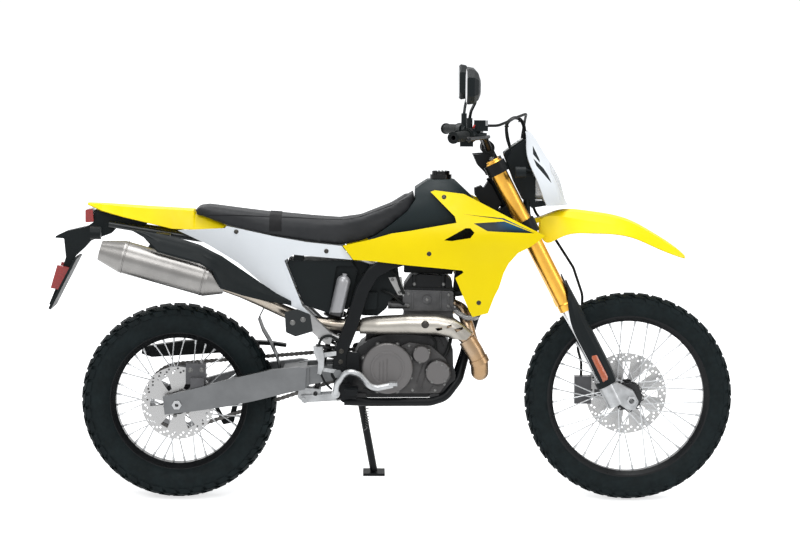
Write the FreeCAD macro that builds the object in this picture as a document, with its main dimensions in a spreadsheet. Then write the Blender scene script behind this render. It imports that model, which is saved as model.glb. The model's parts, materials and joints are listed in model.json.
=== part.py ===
import FreeCAD, Part
import math
import os

import Sketcher

# A dual sport motorcycle with open wire wheels, at real size in millimetres.
# It is laid out upright with x forward from the rear axle, y to the rider's left and z up from the ground,
# and then every piece gets one placement that leans the whole machine onto its side stand.

V = FreeCAD.Vector
DOC = FreeCAD.newDocument("dual_sport_motorcycle")
SHEET = DOC.addObject("Spreadsheet::Sheet", "sizes")
PIECES = {}

# Driving sizes: name and value, in millimetres or degrees
SIZES = (
    ("wheelbase", 1490.0),
    ("rake", 27.5),
    ("axle_lead", 63.5),
    ("fork_lead", 15.5),
    ("fork_half_track", 104.0),
    ("lean", 10.0),
    ("front_tyre_radius", 347.0),
    ("front_tyre_width", 84.0),
    ("front_crown_drop", 22.0),
    ("front_rim_radius", 278.0),
    ("front_rim_width", 56.0),
    ("front_rim_depth", 27.0),
    ("rear_tyre_radius", 325.0),
    ("rear_tyre_width", 120.0),
    ("rear_crown_drop", 32.0),
    ("rear_rim_radius", 240.0),
    ("rear_rim_width", 74.0),
    ("rear_rim_depth", 31.0),
    ("tyre_wall", 10.0),
    ("rim_wall", 3.0),
    ("bead_height", 11.0),
    ("seat_gap", 0.3),
    ("running_gap", 0.05),
    ("lug_height", 8.0),
    ("lug_share", 0.62),
    ("rear_lug_half", 24.0),
    ("front_lug_half", 18.0),
    ("rear_tyre_facets", 34.0),
    ("front_tyre_facets", 34.0),
    ("spoke_count", 36.0),
    ("spoke_radius", 2.0),
    ("nipple_radius", 3.6),
    ("nipple_length", 16.0),
    ("spoke_sweep", 52.0),
    ("front_hub_half", 60.0),
    ("rear_hub_half", 84.0),
    ("hub_core_radius", 26.0),
    ("hub_flange_radius", 45.0),
    ("front_flange_offset", 30.0),
    ("rear_flange_offset", 34.0),
    ("flange_thickness", 6.0),
    ("disc_thickness", 4.0),
    ("front_disc_radius", 135.0),
    ("front_disc_offset", 62.0),
    ("rear_disc_radius", 120.0),
    ("rear_disc_offset", 74.0),
    ("disc_band", 24.0),
    ("disc_hole_radius", 3.6),
    ("sprocket_teeth", 44.0),
    ("chain_pitch", 15.875),
    ("chain_offset", 80.0),
    ("chain_gap", 9.0),
    ("chain_plate", 3.0),
    ("chain_height", 15.0),
    ("drive_sprocket_teeth", 15.0),
    ("sprocket_thickness", 5.0),
    ("front_axle_radius", 12.0),
    ("front_axle_bore", 8.5),
    ("rear_axle_radius", 10.0),
    ("rear_axle_bore", 6.0),
    ("fork_tube_radius", 27.0),
    ("fork_tube_wall", 3.0),
    ("stanchion_radius", 23.5),
    ("fork_foot", 36.0),
    ("fork_gaiter_low", 361.0),
    ("fork_top", 905.0),
    ("lower_clamp_base", 640.0),
    ("lower_clamp_height", 48.0),
    ("upper_clamp_base", 862.0),
    ("upper_clamp_height", 38.0),
    ("clamp_wall", 9.0),
    ("stem_radius", 14.0),
    ("head_tube_radius", 29.0),
    ("head_tube_gap", 4.0),
    ("bar_rise", 50.0),
    ("bar_radius", 11.1),
    ("bar_middle_radius", 14.3),
    ("bar_half_width", 405.0),
    ("bar_bore", 7.5),
    ("grip_radius", 16.5),
    ("grip_length", 120.0),
    ("pivot_x", 527.0),
    ("pivot_z", 432.0),
    ("pivot_radius", 10.0),
    ("swing_inner", 97.0),
    ("swing_wall", 28.0),
    ("spar_half_track", 113.0),
    ("spar_width", 30.0),
    ("spar_depth", 44.0),
    ("cradle_radius", 14.0),
    ("engine_half_width", 94.0),
    ("clutch_radius", 84.0),
    ("cover_depth", 46.0),
    ("panel_thickness", 3.5),
    ("fender_thickness", 3.5),
    ("pipe_radius", 20.0),
    ("header_radius", 29.0),
    ("shield_radius", 33.5),
    ("silencer_radius", 52.5),
    ("silencer_offset", 190.0),
    ("peg_reach", 232.0),
    ("stand_pivot_y", 134.0),
    ("stand_reach", 236.0),
    ("stand_radius", 12.5),
    ("shock_rod_space", 46.0),
    ("mirror_reach", 442.0),
    ("lamp_back", -318.0),
    ("housing_half", 56.0),
    ("cable_bundle_radius", 7.0),
    ("plate_hole_spacing", 146.0),
    ("plate_hole_radius", 3.5),
)

# Lengths that the outlines below were drawn for, so that they stretch with the driving sizes
DRAWN_WHEELBASE = 1490.0


# Size values that carry their sheet name along


class Size:
    """A number from the sheet with the expression that gives it, so that features can be bound to it."""

    def __init__(self, value, text):
        self.value = float(value)
        self.text = text

    def _join(self, other, sign, value):
        return Size(value, "(%s %s %s)" % (self.text, sign, text_of(other)))

    def __add__(self, other):
        return self._join(other, "+", self.value + float(other))

    def __sub__(self, other):
        return self._join(other, "-", self.value - float(other))

    def __mul__(self, other):
        return self._join(other, "*", self.value * float(other))

    def __truediv__(self, other):
        return self._join(other, "/", self.value / float(other))

    def __neg__(self):
        return Size(-self.value, "(0 - %s)" % self.text)

    def __radd__(self, other):
        return Size(float(other) + self.value, "(%s + %s)" % (text_of(other), self.text))

    def __rsub__(self, other):
        return Size(float(other) - self.value, "(%s - %s)" % (text_of(other), self.text))

    def __rmul__(self, other):
        return Size(float(other) * self.value, "(%s * %s)" % (text_of(other), self.text))

    def __float__(self):
        return self.value


def text_of(number):
    return number.text if isinstance(number, Size) else "%.6f" % number


def fill_sheet():
    for row, (name, value) in enumerate(SIZES, 1):
        SHEET.set("A%d" % row, name)
        SHEET.set("B%d" % row, str(value))
        SHEET.setAlias("B%d" % row, name)
    DOC.recompute()


fill_sheet()


def size(name):
    """A driving size, bound to its cell."""
    return Size(SHEET.get(name), "sizes." + name)


def mm(name):
    """A driving size as a plain number."""
    return float(SHEET.get(name))


# Places that follow from the driving sizes

RAKE = math.radians(mm("rake"))
STEER_UP = V(-math.sin(RAKE), 0, math.cos(RAKE))
STEER_AHEAD = V(math.cos(RAKE), 0, math.sin(RAKE))
REAR_AXLE = V(0, 0, mm("rear_tyre_radius"))
FRONT_AXLE = V(mm("wheelbase"), 0, mm("front_tyre_radius"))
PIVOT = V(mm("pivot_x"), 0, mm("pivot_z"))
HEAD_LOW = mm("lower_clamp_base") + mm("lower_clamp_height") + mm("head_tube_gap")
HEAD_HIGH = mm("upper_clamp_base") - mm("head_tube_gap")


def bike(x, y, z):
    """A point of the chassis, which stretches with the wheelbase."""
    return V(x * mm("wheelbase") / DRAWN_WHEELBASE, y, z)


def steer(ahead, left, up):
    """A point of the steered front end: ahead of the steering axis, to the left, and up along the axis."""
    return FRONT_AXLE + STEER_AHEAD * (ahead - mm("axle_lead")) + STEER_UP * up + V(0, left, 0)


STEER_TURN = FreeCAD.Rotation(V(0, 1, 0), -mm("rake"))


def steer_placement(ahead, left, up):
    return FreeCAD.Placement(steer(ahead, left, up), STEER_TURN)


# Document helpers


def piece(name, item):
    """Registers an object of the document as a sub-part."""
    item.Label = name
    PIECES[name] = item
    return item


def shape_piece(name, shape):
    item = DOC.addObject("Part::Feature", name)
    item.Shape = shape
    return piece(name, item)


def body(name):
    return DOC.addObject("PartDesign::Body", name)


def origin_item(owner, role):
    return [f for f in owner.Origin.OriginFeatures if f.Role == role][0]


def sketch(owner, role):
    item = owner.newObject("Sketcher::SketchObject", owner.Name + "_sketch")
    item.AttachmentSupport = [(origin_item(owner, role), "")]
    item.MapMode = "FlatFace"
    return item


def bind_point(item, geometry, end, point):
    for kind, along in (("DistanceX", point[0]), ("DistanceY", point[1])):
        index = item.addConstraint(Sketcher.Constraint(kind, -1, 1, geometry, end, float(along)))
        if isinstance(along, Size):
            item.setExpression("Constraints[%d]" % index, along.text)


def bound_profile(item, path):
    """A closed profile through the points of path. A point with a third value starts an arc of that radius,
    bulging to the left of its chord for a positive radius and to the right for a negative one."""
    count = len(path)
    for index, point in enumerate(path):
        start = V(float(point[0]), float(point[1]), 0)
        following = path[(index + 1) % count]
        end = V(float(following[0]), float(following[1]), 0)
        if len(point) == 3:
            item.addGeometry(Part.Arc(start, arc_middle(start, end, float(point[2])), end), False)
        else:
            item.addGeometry(Part.LineSegment(start, end), False)
    for index, point in enumerate(path):
        first_end = nearest_end(item, index, point)
        following = path[(index + 1) % count]
        next_index = (index + 1) % count
        next_start = nearest_end(item, next_index, following)
        last_end = 3 - first_end
        item.addConstraint(Sketcher.Constraint("Coincident", index, last_end, next_index, next_start))
        bind_point(item, index, first_end, point)
    for index, point in enumerate(path):
        if len(point) == 3:
            radius = point[2]
            limit = item.addConstraint(Sketcher.Constraint("Radius", index, abs(float(radius))))
            if isinstance(radius, Size):
                text = radius.text if radius.value > 0 else "(0 - %s)" % radius.text
                item.setExpression("Constraints[%d]" % limit, text)


def arc_middle(start, end, radius):
    chord = end - start
    half = chord.Length / 2
    sag = abs(radius) - math.sqrt(max(radius * radius - half * half, 0))
    side = V(-chord.y, chord.x, 0).normalize() * (1 if radius > 0 else -1)
    return (start + end) / 2 + side * sag


def nearest_end(item, index, point):
    target = V(float(point[0]), float(point[1]), 0)
    gaps = [(item.getPoint(index, end) - target).Length for end in (1, 2)]
    return 1 if gaps[0] <= gaps[1] else 2


def turned(name, path):
    """A body turned about its own Y axis from a profile of radius and offset."""
    owner = body(name)
    item = sketch(owner, "XY_Plane")
    bound_profile(item, path)
    turn = owner.newObject("PartDesign::Revolution", name + "_turn")
    turn.Profile = item
    turn.ReferenceAxis = (item, ["V_Axis"])
    turn.Angle = 360
    return owner


def circle_in(item, x, y, radius):
    index = item.addGeometry(Part.Circle(V(float(x), float(y), 0), V(0, 0, 1), float(radius)), False)
    bind_point(item, index, 3, (x, y))
    limit = item.addConstraint(Sketcher.Constraint("Radius", index, float(radius)))
    if isinstance(radius, Size):
        item.setExpression("Constraints[%d]" % limit, radius.text)


def both_sides(name, source):
    """The source and its mirror image across the machine's middle plane, as one node of two solids."""
    mirror = DOC.addObject("Part::Mirroring", name + "_mirror")
    mirror.Source = source
    mirror.Normal = V(0, 1, 0)
    pair = DOC.addObject("Part::Compound", name)
    pair.Links = [source, mirror]
    return piece(name, pair)


# Shape helpers


def prism_y(outline, low, high):
    """An outline of x and z, extruded from one y to another."""
    points = [bike(x, low, z) for x, z in outline]
    return Part.Face(Part.makePolygon(points + points[:1])).extrude(V(0, high - low, 0))


def rounded_wire(points, bend, closed=False):
    """Straight runs joined by tangent arcs of the bend radius, less where the runs are short."""
    count = len(points)
    edges = []
    starts = []
    for index in range(count):
        if not closed and index in (0, count - 1):
            starts.append((points[index], None, points[index]))
            continue
        before = points[index - 1] - points[index]
        after = points[(index + 1) % count] - points[index]
        angle = before.getAngle(after)
        if math.pi - angle < 0.01:
            starts.append((points[index], None, points[index]))
            continue
        reach = min(bend / math.tan(angle / 2), 0.46 * before.Length, 0.46 * after.Length)
        first = points[index] + before.normalize() * reach
        last = points[index] + after.normalize() * reach
        to_middle = (first + last) / 2 - points[index]
        radius = reach * math.tan(angle / 2)
        centre_gap = math.sqrt(radius * radius + reach * reach)
        middle = points[index] + to_middle.normalize() * (centre_gap - radius)
        starts.append((first, middle, last))
    for index in range(count):
        first, middle, last = starts[index]
        if middle is not None:
            edges.append(Part.Arc(first, middle, last).toShape())
        if closed or index < count - 1:
            following = starts[(index + 1) % count][0]
            if (following - last).Length > 1e-6:
                edges.append(Part.LineSegment(last, following).toShape())
    return Part.Wire(edges)


def rounded_prism(outline, corner, low, high):
    """An outline of x and z with rounded corners, extruded from one y to another."""
    points = [bike(x, low, z) for x, z in outline]
    return Part.Face(rounded_wire(points, corner, True)).extrude(V(0, high - low, 0))


def tube(points, radius, bend, bore=0.0):
    """A round tube through points, with bends of that radius."""
    path = rounded_wire(points, bend)
    start = points[0]
    ahead = points[1] - points[0]
    solid = sweep_circle(path, start, ahead, radius)
    return solid.cut(sweep_circle(path, start, ahead, bore)) if bore else solid


def sweep_circle(path, start, ahead, radius):
    ring = Part.Wire(Part.makeCircle(radius, start, ahead))
    return path.makePipeShell([ring], True, False)


def box_tube(points, bend, width, depth):
    """A rectangular tube along points that lie near one side plane, width across it and depth in it."""
    path = rounded_wire(points, bend)
    ahead = (points[1] - points[0]).normalize()
    across = V(0, 1, 0)
    normal = ahead.cross(across).normalize()
    across = normal.cross(ahead).normalize()
    corners = [(-1, -1), (1, -1), (1, 1), (-1, 1)]
    ring = [points[0] + across * (a * width / 2) + normal * (b * depth / 2) for a, b in corners]
    shell = Part.BRepOffsetAPI.MakePipeShell(path)
    shell.setBiNormalMode(V(0, 1, 0))
    shell.add(rounded_wire(ring, 5, True))
    shell.build()
    shell.makeSolid()
    return shell.shape()


def loft(rings, ruled=False):
    wires = [Part.makePolygon(ring + ring[:1]) for ring in rings]
    return Part.makeLoft(wires, True, ruled)


def ribbon(points, thickness):
    """A polyline of two coordinates thickened to its left, as a closed ring."""
    inner = []
    for index, point in enumerate(points):
        before = points[max(index - 1, 0)]
        after = points[min(index + 1, len(points) - 1)]
        along = V(after[0] - before[0], after[1] - before[1], 0).normalize()
        inner.append((point[0] - along.y * thickness, point[1] + along.x * thickness))
    return list(points) + inner[::-1]


def cylinder_y(x, z, radius, low, high):
    return Part.makeCylinder(radius, high - low, bike(x, low, z), V(0, 1, 0))


def rod(start, end, radius):
    return Part.makeCylinder(radius, (end - start).Length, start, end - start)


def fuse_all(shapes):
    return shapes[0].fuse(shapes[1:]).removeSplitter() if len(shapes) > 1 else shapes[0]


def mirrored(shape):
    return shape.mirror(V(0, 0, 0), V(0, 1, 0))


# Wheels


def tyre_crown(which, y):
    """The radius of the tips of the lugs at y, on a crown that falls to the shoulders."""
    half = mm(which + "_tyre_width") / 2
    drop = mm(which + "_crown_drop")
    crown = (half * half + drop * drop) / (2 * drop)
    return mm(which + "_tyre_radius") - crown + math.sqrt(crown * crown - y * y)


def facet_solid(axle, section, count):
    """A ring with flat facets around an axle, from a closed section of inner radius and y."""
    loops = []
    for radius, y in section:
        reach = radius / math.cos(math.pi / count)
        loops.append([axle + polar(reach, 2 * math.pi * (index + 0.5) / count, y) for index in range(count)])
    faces = []
    for first, second in zip(loops, loops[1:] + loops[:1]):
        for index in range(count):
            after = (index + 1) % count
            corners = [first[index], first[after], second[after], second[index]]
            faces.append(Part.Face(Part.makePolygon(corners + corners[:1])))
    ring = Part.Solid(Part.Shell(faces))
    if ring.Volume < 0:
        ring.reverse()
    return ring


def tyre_section(which):
    """The closed section of a tyre below its lugs: the outside from bead to bead, then the inside."""
    half = mm(which + "_tyre_width") / 2
    groove = mm("lug_height")
    middle = mm(which + "_lug_half")
    rim_edge = mm(which + "_rim_radius") + 2
    hole = mm(which + "_rim_radius") - mm("bead_height") + mm("seat_gap")
    bead = mm(which + "_rim_width") / 2 - mm("rim_wall") - mm("seat_gap")
    shoulder = mm(which + "_tyre_radius") - mm(which + "_crown_drop")
    belly = rim_edge + (shoulder - rim_edge) * 0.36
    side = [(hole, bead), (rim_edge, bead), (belly, (half - bead) * 0.72 + bead + 4)]
    side += [(shoulder - groove * 0.75, half - groove / 4), (tyre_crown(which, middle) - groove, middle)]
    wall = mm("tyre_wall")
    inside = [(shoulder - wall, half - wall), (hole, bead - wall * 0.8)]
    far_side = [(radius, -y) for radius, y in side[::-1]]
    return side + far_side + [(radius, -y) for radius, y in inside[::-1]] + inside


def lug(axle, profile, angle, length):
    """A block across the tread: a profile of radius and y, drawn out along the way that the tyre runs."""
    outward = polar(1, angle, 0)
    along = polar(1, angle + math.pi / 2, 0)
    points = [axle + outward * radius + V(0, y, 0) - along * (length / 2) for radius, y in profile]
    return Part.Face(Part.makePolygon(points + points[:1])).extrude(along * length)


def lug_profiles(which):
    """The profiles of the lug across the crown, and of the pair on the shoulders."""
    half = mm(which + "_tyre_width") / 2
    height = mm("lug_height")
    middle = mm(which + "_lug_half")
    tip = tyre_crown(which, middle)
    root = tip - height * 1.5
    edge = tyre_crown(which, half)
    crown = [(root, middle), (tip, middle), (tip, -middle), (root, -middle)]
    outer = [(root, middle), (tip, middle), (edge, half), (edge - height * 2.2, half - height * 0.6)]
    return [crown], [outer, [(radius, -y) for radius, y in outer]]


def tyre(name, axle, which):
    """A tyre with flat facets and its lugs: one across the crown, then one on each shoulder, in turn."""
    count = int(mm(which + "_tyre_facets"))
    length = 2 * math.pi * mm(which + "_tyre_radius") / count * mm("lug_share")
    solids = [facet_solid(axle, tyre_section(which), count)]
    profiles = lug_profiles(which)
    for index in range(count):
        angle = 2 * math.pi * index / count - math.pi / 2
        solids += [lug(axle, profile, angle, length) for profile in profiles[index % 2]]
    return shape_piece(name, fuse_all(solids))


def rim(name, axle, which):
    """A channel section rim with hooked flanges."""
    outer = size(which + "_rim_radius")
    half = size(which + "_rim_width") / 2
    wall = size("rim_wall")
    bed = outer - size(which + "_rim_depth")
    seat = outer - size("bead_height")
    path = [
        (bed, -(half * 0.55)),
        (bed, half * 0.55),
        (seat - wall, half),
        (outer, half),
        (outer, half - wall),
        (seat, half - wall),
        (seat - wall, half * 0.62),
        (bed + wall, half * 0.42),
        (bed + wall, -(half * 0.42)),
        (seat - wall, -(half * 0.62)),
        (seat, -(half - wall)),
        (outer, -(half - wall)),
        (outer, -half),
        (seat - wall, -half),
    ]
    owner = turned(name, path)
    owner.Placement.Base = axle
    return piece(name, owner)


def spokes(axle, which):
    """Laced spokes with their nipples, leaning in turn to either side."""
    bed = mm(which + "_rim_radius") - mm(which + "_rim_depth")
    offset = mm(which + "_flange_offset")
    rods = []
    count = int(mm("spoke_count"))
    for index in range(count):
        angle = 2 * math.pi * (index + 0.5) / count
        side = 1 if index % 2 else -1
        sweep = math.radians(mm("spoke_sweep")) * (1 if index % 4 < 2 else -1)
        inner_radius = mm("hub_flange_radius") - 5
        root = polar(inner_radius, angle + sweep, side * offset)
        lean = side * bed * 0.03
        tip = polar(bed - mm("seat_gap"), angle, lean)
        ahead = (tip - root).normalize()
        rods.append(rod(axle + root, axle + tip, mm("spoke_radius")))
        knot = tip - ahead * mm("nipple_length")
        rods.append(rod(axle + knot, axle + tip, mm("nipple_radius")))
    limit = Part.makeCylinder(bed - mm("seat_gap"), 200, axle - V(0, 100, 0), V(0, 1, 0))
    return [item.common(limit) for item in rods]


def polar(radius, angle, offset):
    return V(radius * math.cos(angle), offset, radius * math.sin(angle))


def hub(name, axle, which, seats):
    """A hub with spoke flanges and carriers, on its axle bore. Seats are carriers as offset and radius."""
    half = mm(which + "_hub_half")
    bore = mm(which + "_axle_radius") + mm("running_gap")
    offset = mm(which + "_flange_offset")
    thick = mm("flange_thickness")
    solids = [ring_y(axle, -half, half, mm("hub_core_radius"))]
    for side in (-1, 1):
        middle = side * offset
        solids.append(ring_y(axle, middle - thick / 2, middle + thick / 2, mm("hub_flange_radius")))
    for low, high, radius in seats:
        solids.append(ring_y(axle, low, high, radius))
    whole = fuse_all(solids + spokes(axle, which))
    return shape_piece(name, whole.cut(ring_y(axle, -half - 1, half + 1, bore)))


def ring_y(axle, low, high, radius):
    return Part.makeCylinder(radius, high - low, axle + V(0, low, 0), V(0, 1, 0))


def disc(name, axle, offset, which, arms):
    """A brake disc: a drilled band on a carrier with windows."""
    owner = body(name)
    outer = size(which + "_disc_radius")
    band = size("disc_band")
    plate = sketch(owner, "XZ_Plane")
    circle_in(plate, 0, 0, outer)
    circle_in(plate, 0, 0, size("hub_core_radius") + 12)
    pad = owner.newObject("PartDesign::Pad", name + "_plate")
    pad.Profile = plate
    pad.setExpression("Length", "sizes.disc_thickness")
    pad.Midplane = True
    DOC.recompute()
    window = sketch(owner, "XZ_Plane")
    inner = size("hub_core_radius") + 22
    edge = outer - band - 5
    bound_profile(window, [(inner, -5.0), (edge, -14.0), (edge, 12.0), (inner, 8.0)])
    add_pattern(owner, window, name + "_window", arms)
    for row, reach in enumerate((0.24, 0.52, 0.8)):
        holes = sketch(owner, "XZ_Plane")
        turn = math.radians(row * 5.0)
        place = outer - band * reach
        circle_in(holes, place * math.cos(turn), place * math.sin(turn), size("disc_hole_radius"))
        add_pattern(owner, holes, name + "_holes%d" % row, 24)
    owner.Placement.Base = axle + V(0, offset, 0)
    return piece(name, owner)


def add_pattern(owner, item, name, count):
    cut = owner.newObject("PartDesign::Pocket", name)
    cut.Profile = item
    cut.Type = "ThroughAll"
    cut.Midplane = True
    pattern = owner.newObject("PartDesign::PolarPattern", name + "_pattern")
    pattern.Originals = [cut]
    pattern.Axis = (origin_item(owner, "Y_Axis"), [""])
    pattern.Angle = 360
    pattern.Occurrences = count
    owner.Tip = pattern
    DOC.recompute()


def sprocket_radius(teeth):
    return mm("chain_pitch") / (2 * math.sin(math.pi / teeth))


def toothed_face(teeth, centre):
    """The outline of a chain sprocket."""
    pitch = sprocket_radius(teeth)
    points = []
    for index in range(teeth):
        for share, reach in ((-0.36, -5.0), (-0.14, 4.5), (0.14, 4.5), (0.36, -5.0)):
            points.append(centre + polar(pitch + reach, 2 * math.pi * (index + share) / teeth, 0))
    return Part.Face(Part.makePolygon(points + points[:1]))


def rear_sprocket():
    teeth = int(mm("sprocket_teeth"))
    low = mm("chain_offset") - mm("sprocket_thickness") / 2
    centre = REAR_AXLE + V(0, low, 0)
    plate = toothed_face(teeth, centre).extrude(V(0, mm("sprocket_thickness"), 0))
    pitch = sprocket_radius(teeth)
    plate = plate.cut(ring_y(REAR_AXLE, low - 1, low + 9, mm("hub_core_radius") + mm("seat_gap")))
    windows = []
    for index in range(6):
        angle = math.pi * index / 3
        windows.append(window_prism(REAR_AXLE, angle, 60, pitch - 17, 20, low))
    return shape_piece("rear_sprocket", plate.cut(windows))


def window_prism(axle, angle, inner, outer, half_deg, low):
    spread = math.radians(half_deg)
    corners = [
        polar(inner, angle - spread, low - 1),
        polar(outer, angle - spread, low - 1),
        polar(outer, angle + spread, low - 1),
        polar(inner, angle + spread, low - 1),
    ]
    points = [axle + corner for corner in corners]
    return Part.Face(rounded_wire(points, 8, True)).extrude(V(0, 10, 0))


def axle_shaft(name, axle, which, collars, half, head):
    """A hollow axle with spacer collars and a hexagon end."""
    bore = mm(which + "_axle_bore")
    solids = [ring_y(axle, -half, half, mm(which + "_axle_radius"))]
    for low, high, radius in collars:
        solids.append(ring_y(axle, low, high, radius))
    solids.append(hexagon(axle + V(0, -half, 0), head, 9))
    solids.append(hexagon(axle + V(0, half - 9, 0), head, 9))
    return shape_piece(name, fuse_all(solids).cut(ring_y(axle, -half - 1, half + 1, bore)))


def hexagon(base, radius, thick):
    points = [base + polar(radius, math.pi * index / 3, 0) for index in range(6)]
    return Part.Face(Part.makePolygon(points + points[:1])).extrude(V(0, thick, 0))


def wheels():
    rear_half = mm("rear_hub_half")
    thick = mm("disc_thickness")
    gap = mm("seat_gap")
    tyre("rear_tyre", REAR_AXLE, "rear")
    rim("rear_rim", REAR_AXLE, "rear")
    disc_face = -mm("rear_disc_offset") + thick / 2
    plate_low = mm("chain_offset") - mm("sprocket_thickness") / 2
    seats = (
        (disc_face + gap, disc_face + 14, mm("hub_core_radius") + 22),
        (mm("rear_flange_offset") + mm("flange_thickness"), plate_low - gap, mm("hub_flange_radius") + 12),
    )
    hub("rear_hub", REAR_AXLE, "rear", seats)
    disc("rear_disc", REAR_AXLE, -mm("rear_disc_offset"), "rear", 6)
    rear_sprocket()
    inner = mm("swing_inner")
    wall = mm("swing_wall")
    collars = ((-inner + gap, -rear_half - gap, 15), (rear_half + gap, inner - gap, 15))
    axle_shaft("rear_axle", REAR_AXLE, "rear", collars, inner + wall + 10, 16)
    tyre("front_tyre", FRONT_AXLE, "front")
    rim("front_rim", FRONT_AXLE, "front")
    face = mm("front_disc_offset") - thick / 2
    seats = ((face - 18, face - gap, mm("hub_core_radius") + 22),)
    hub("front_hub", FRONT_AXLE, "front", seats)
    disc("front_disc", FRONT_AXLE, mm("front_disc_offset"), "front", 8)


# Fork, clamps and front axle


def fork_tubes():
    radius = size("fork_tube_radius")
    bore = radius - size("fork_tube_wall")
    low = size("fork_gaiter_low")
    top = size("fork_top")
    path = [
        (bore, low),
        (radius + 2, low),
        (radius + 2, low + 22),
        (radius, low + 26),
        (radius, top - 4),
        (radius - 4, top),
        (0.0, top),
        (0.0, top - 12),
        (bore, top - 12),
    ]
    owner = upright_turned("fork_tube_right", path)
    owner.Placement = steer_placement(mm("fork_lead"), -mm("fork_half_track"), 0)
    return both_sides("fork_tubes", owner)


def upright_turned(name, path):
    """A body turned about its own Z axis from a profile of radius and height."""
    owner = body(name)
    item = sketch(owner, "XZ_Plane")
    bound_profile(item, path)
    turn = owner.newObject("PartDesign::Revolution", name + "_turn")
    turn.Profile = item
    turn.ReferenceAxis = (item, ["V_Axis"])
    turn.Angle = 360
    return owner


def fork_stanchions():
    radius = size("stanchion_radius")
    foot = size("fork_foot") + 40
    top = size("fork_gaiter_low") + 180
    path = [(0.0, foot), (radius, foot), (radius, top)]
    path += [(radius - 4, top), (radius - 4, foot + 6), (0.0, foot + 6)]
    owner = upright_turned("stanchion_right", path)
    owner.Placement = steer_placement(mm("fork_lead"), -mm("fork_half_track"), 0)
    return both_sides("fork_stanchions", owner)


def fork_feet():
    """Cast feet that carry the front axle ahead of the stanchions."""
    track = mm("fork_half_track")
    radius = mm("stanchion_radius")
    socket = rod(
        steer(mm("fork_lead"), -track, mm("fork_foot") - 30),
        steer(mm("fork_lead"), -track, mm("fork_foot") + 70),
        radius + 5,
    )
    low = -track - 24
    high = -track + 24
    arm = [steer(u, low, w) for u, w in ((-8, 70), (44, 78), (84, 24), (84, -14), (60, -34), (38, -20))]
    arm_solid = Part.Face(rounded_wire(arm, 10, True)).extrude(V(0, high - low, 0))
    whole = fuse_all([socket, arm_solid])
    bore = Part.makeCylinder(mm("front_axle_radius"), 300, FRONT_AXLE - V(0, 150, 0), V(0, 1, 0))
    pocket = rod(
        steer(mm("fork_lead"), -track, mm("fork_foot") + 40),
        steer(mm("fork_lead"), -track, mm("fork_foot") + 90),
        radius,
    )
    right = whole.cut([bore, pocket])
    return shape_piece("fork_feet", Part.makeCompound([right, mirrored(right)]))


GUARD_STATIONS = (
    # height along the fork, radius, lead, reach round either side in degrees
    (84, 33, 4, 118),
    (150, 35, 6, 124),
    (250, 35, 6, 124),
    (340, 34, 6, 108),
    (400, 33.5, 5, 66),
    (452, 33.5, 5, 14),
)


def fork_guards():
    """Curved guards that wrap the front of each stanchion."""
    sides = []
    track = mm("fork_half_track")
    for side in (-1, 1):
        rings = []
        for up, radius, lead, sweep in GUARD_STATIONS:
            arc = []
            for step in range(9):
                angle = math.radians(sweep * (step / 4 - 1))
                ahead = mm("fork_lead") + radius * math.cos(angle) + lead * (1 + math.cos(angle)) / 2
                arc.append((ahead, side * track + radius * math.sin(angle)))
            rings.append([steer(u, y, up) for u, y in ribbon(arc, 3.0)])
        sides.append(loft(rings))
    return sides


def clamp_plates(grow=0.0):
    """The plates of both fork clamps, larger all round by grow."""
    plates = []
    outline = [(-24, 14), (-4, 60), (-2, 96), (34, 96), (38, 40)]
    outline = [(u + math.copysign(grow, u), y + grow) for u, y in outline]
    outline = outline + [(u, -y) for u, y in outline[::-1]]
    for base, height in (
        (mm("lower_clamp_base"), mm("lower_clamp_height")),
        (mm("upper_clamp_base"), mm("upper_clamp_height")),
    ):
        points = [steer(u, y, base + height * 0.2 - grow) for u, y in outline]
        face = Part.Face(rounded_wire(points, 12, True))
        plates.append(face.extrude(STEER_UP * (height * 0.6 + 2 * grow)))
    return plates


def triple_clamps():
    """Both fork clamps, the steering stem between them and the bar risers."""
    solids = clamp_plates()
    lead = mm("fork_lead")
    track = mm("fork_half_track")
    tube_radius = mm("fork_tube_radius")
    ring = tube_radius + mm("clamp_wall")
    for base, height in (
        (mm("lower_clamp_base"), mm("lower_clamp_height")),
        (mm("upper_clamp_base"), mm("upper_clamp_height")),
    ):
        for side in (-1, 1):
            low = steer(lead, side * track, base)
            solids.append(rod(low, low + STEER_UP * height, ring))
    upper = mm("upper_clamp_base")
    solids.append(rod(steer(0, 0, mm("lower_clamp_base")), steer(0, 0, upper + 44), mm("stem_radius")))
    solids.append(rod(steer(0, 0, upper + 30), steer(0, 0, upper + 46), 19))
    for side in (-1, 1):
        low = steer(mm("fork_lead") + 6, side * 44, mm("upper_clamp_base") + 20)
        solids.append(rod(low, bar_centre() + V(0, side * 44, 0), 15))
        cap = bar_centre() + V(0, side * 44 - 14, 0)
        solids.append(Part.makeCylinder(mm("bar_middle_radius") + 8, 28, cap, V(0, 1, 0)))
    whole = fuse_all(solids + bar_risers())
    bores = []
    for side in (-1, 1):
        low = steer(lead, side * track, 500)
        bores.append(rod(low, low + STEER_UP * 600, tube_radius + 0.1))
    bar = Part.makeCylinder(mm("bar_middle_radius") + 0.1, 300, bar_centre() - V(0, 150, 0), V(0, 1, 0))
    return shape_piece("triple_clamps", whole.cut(bores + [bar]))


def bar_centre():
    return steer(mm("fork_lead") + 6, 0, mm("upper_clamp_base") + mm("upper_clamp_height") + mm("bar_rise"))


def bar_path(side):
    """The run of one side of the handlebar from its clamp outwards."""
    reach = mm("bar_half_width")
    centre = bar_centre()
    return [
        centre + V(0, side * 70, 0),
        centre + V(0, side * 96, 0),
        centre + V(-18, side * 162, 42),
        centre + V(-48, side * 222, 50),
        centre + V(-48 - (reach - 222) * 0.42, side * reach, 46),
    ]


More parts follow.
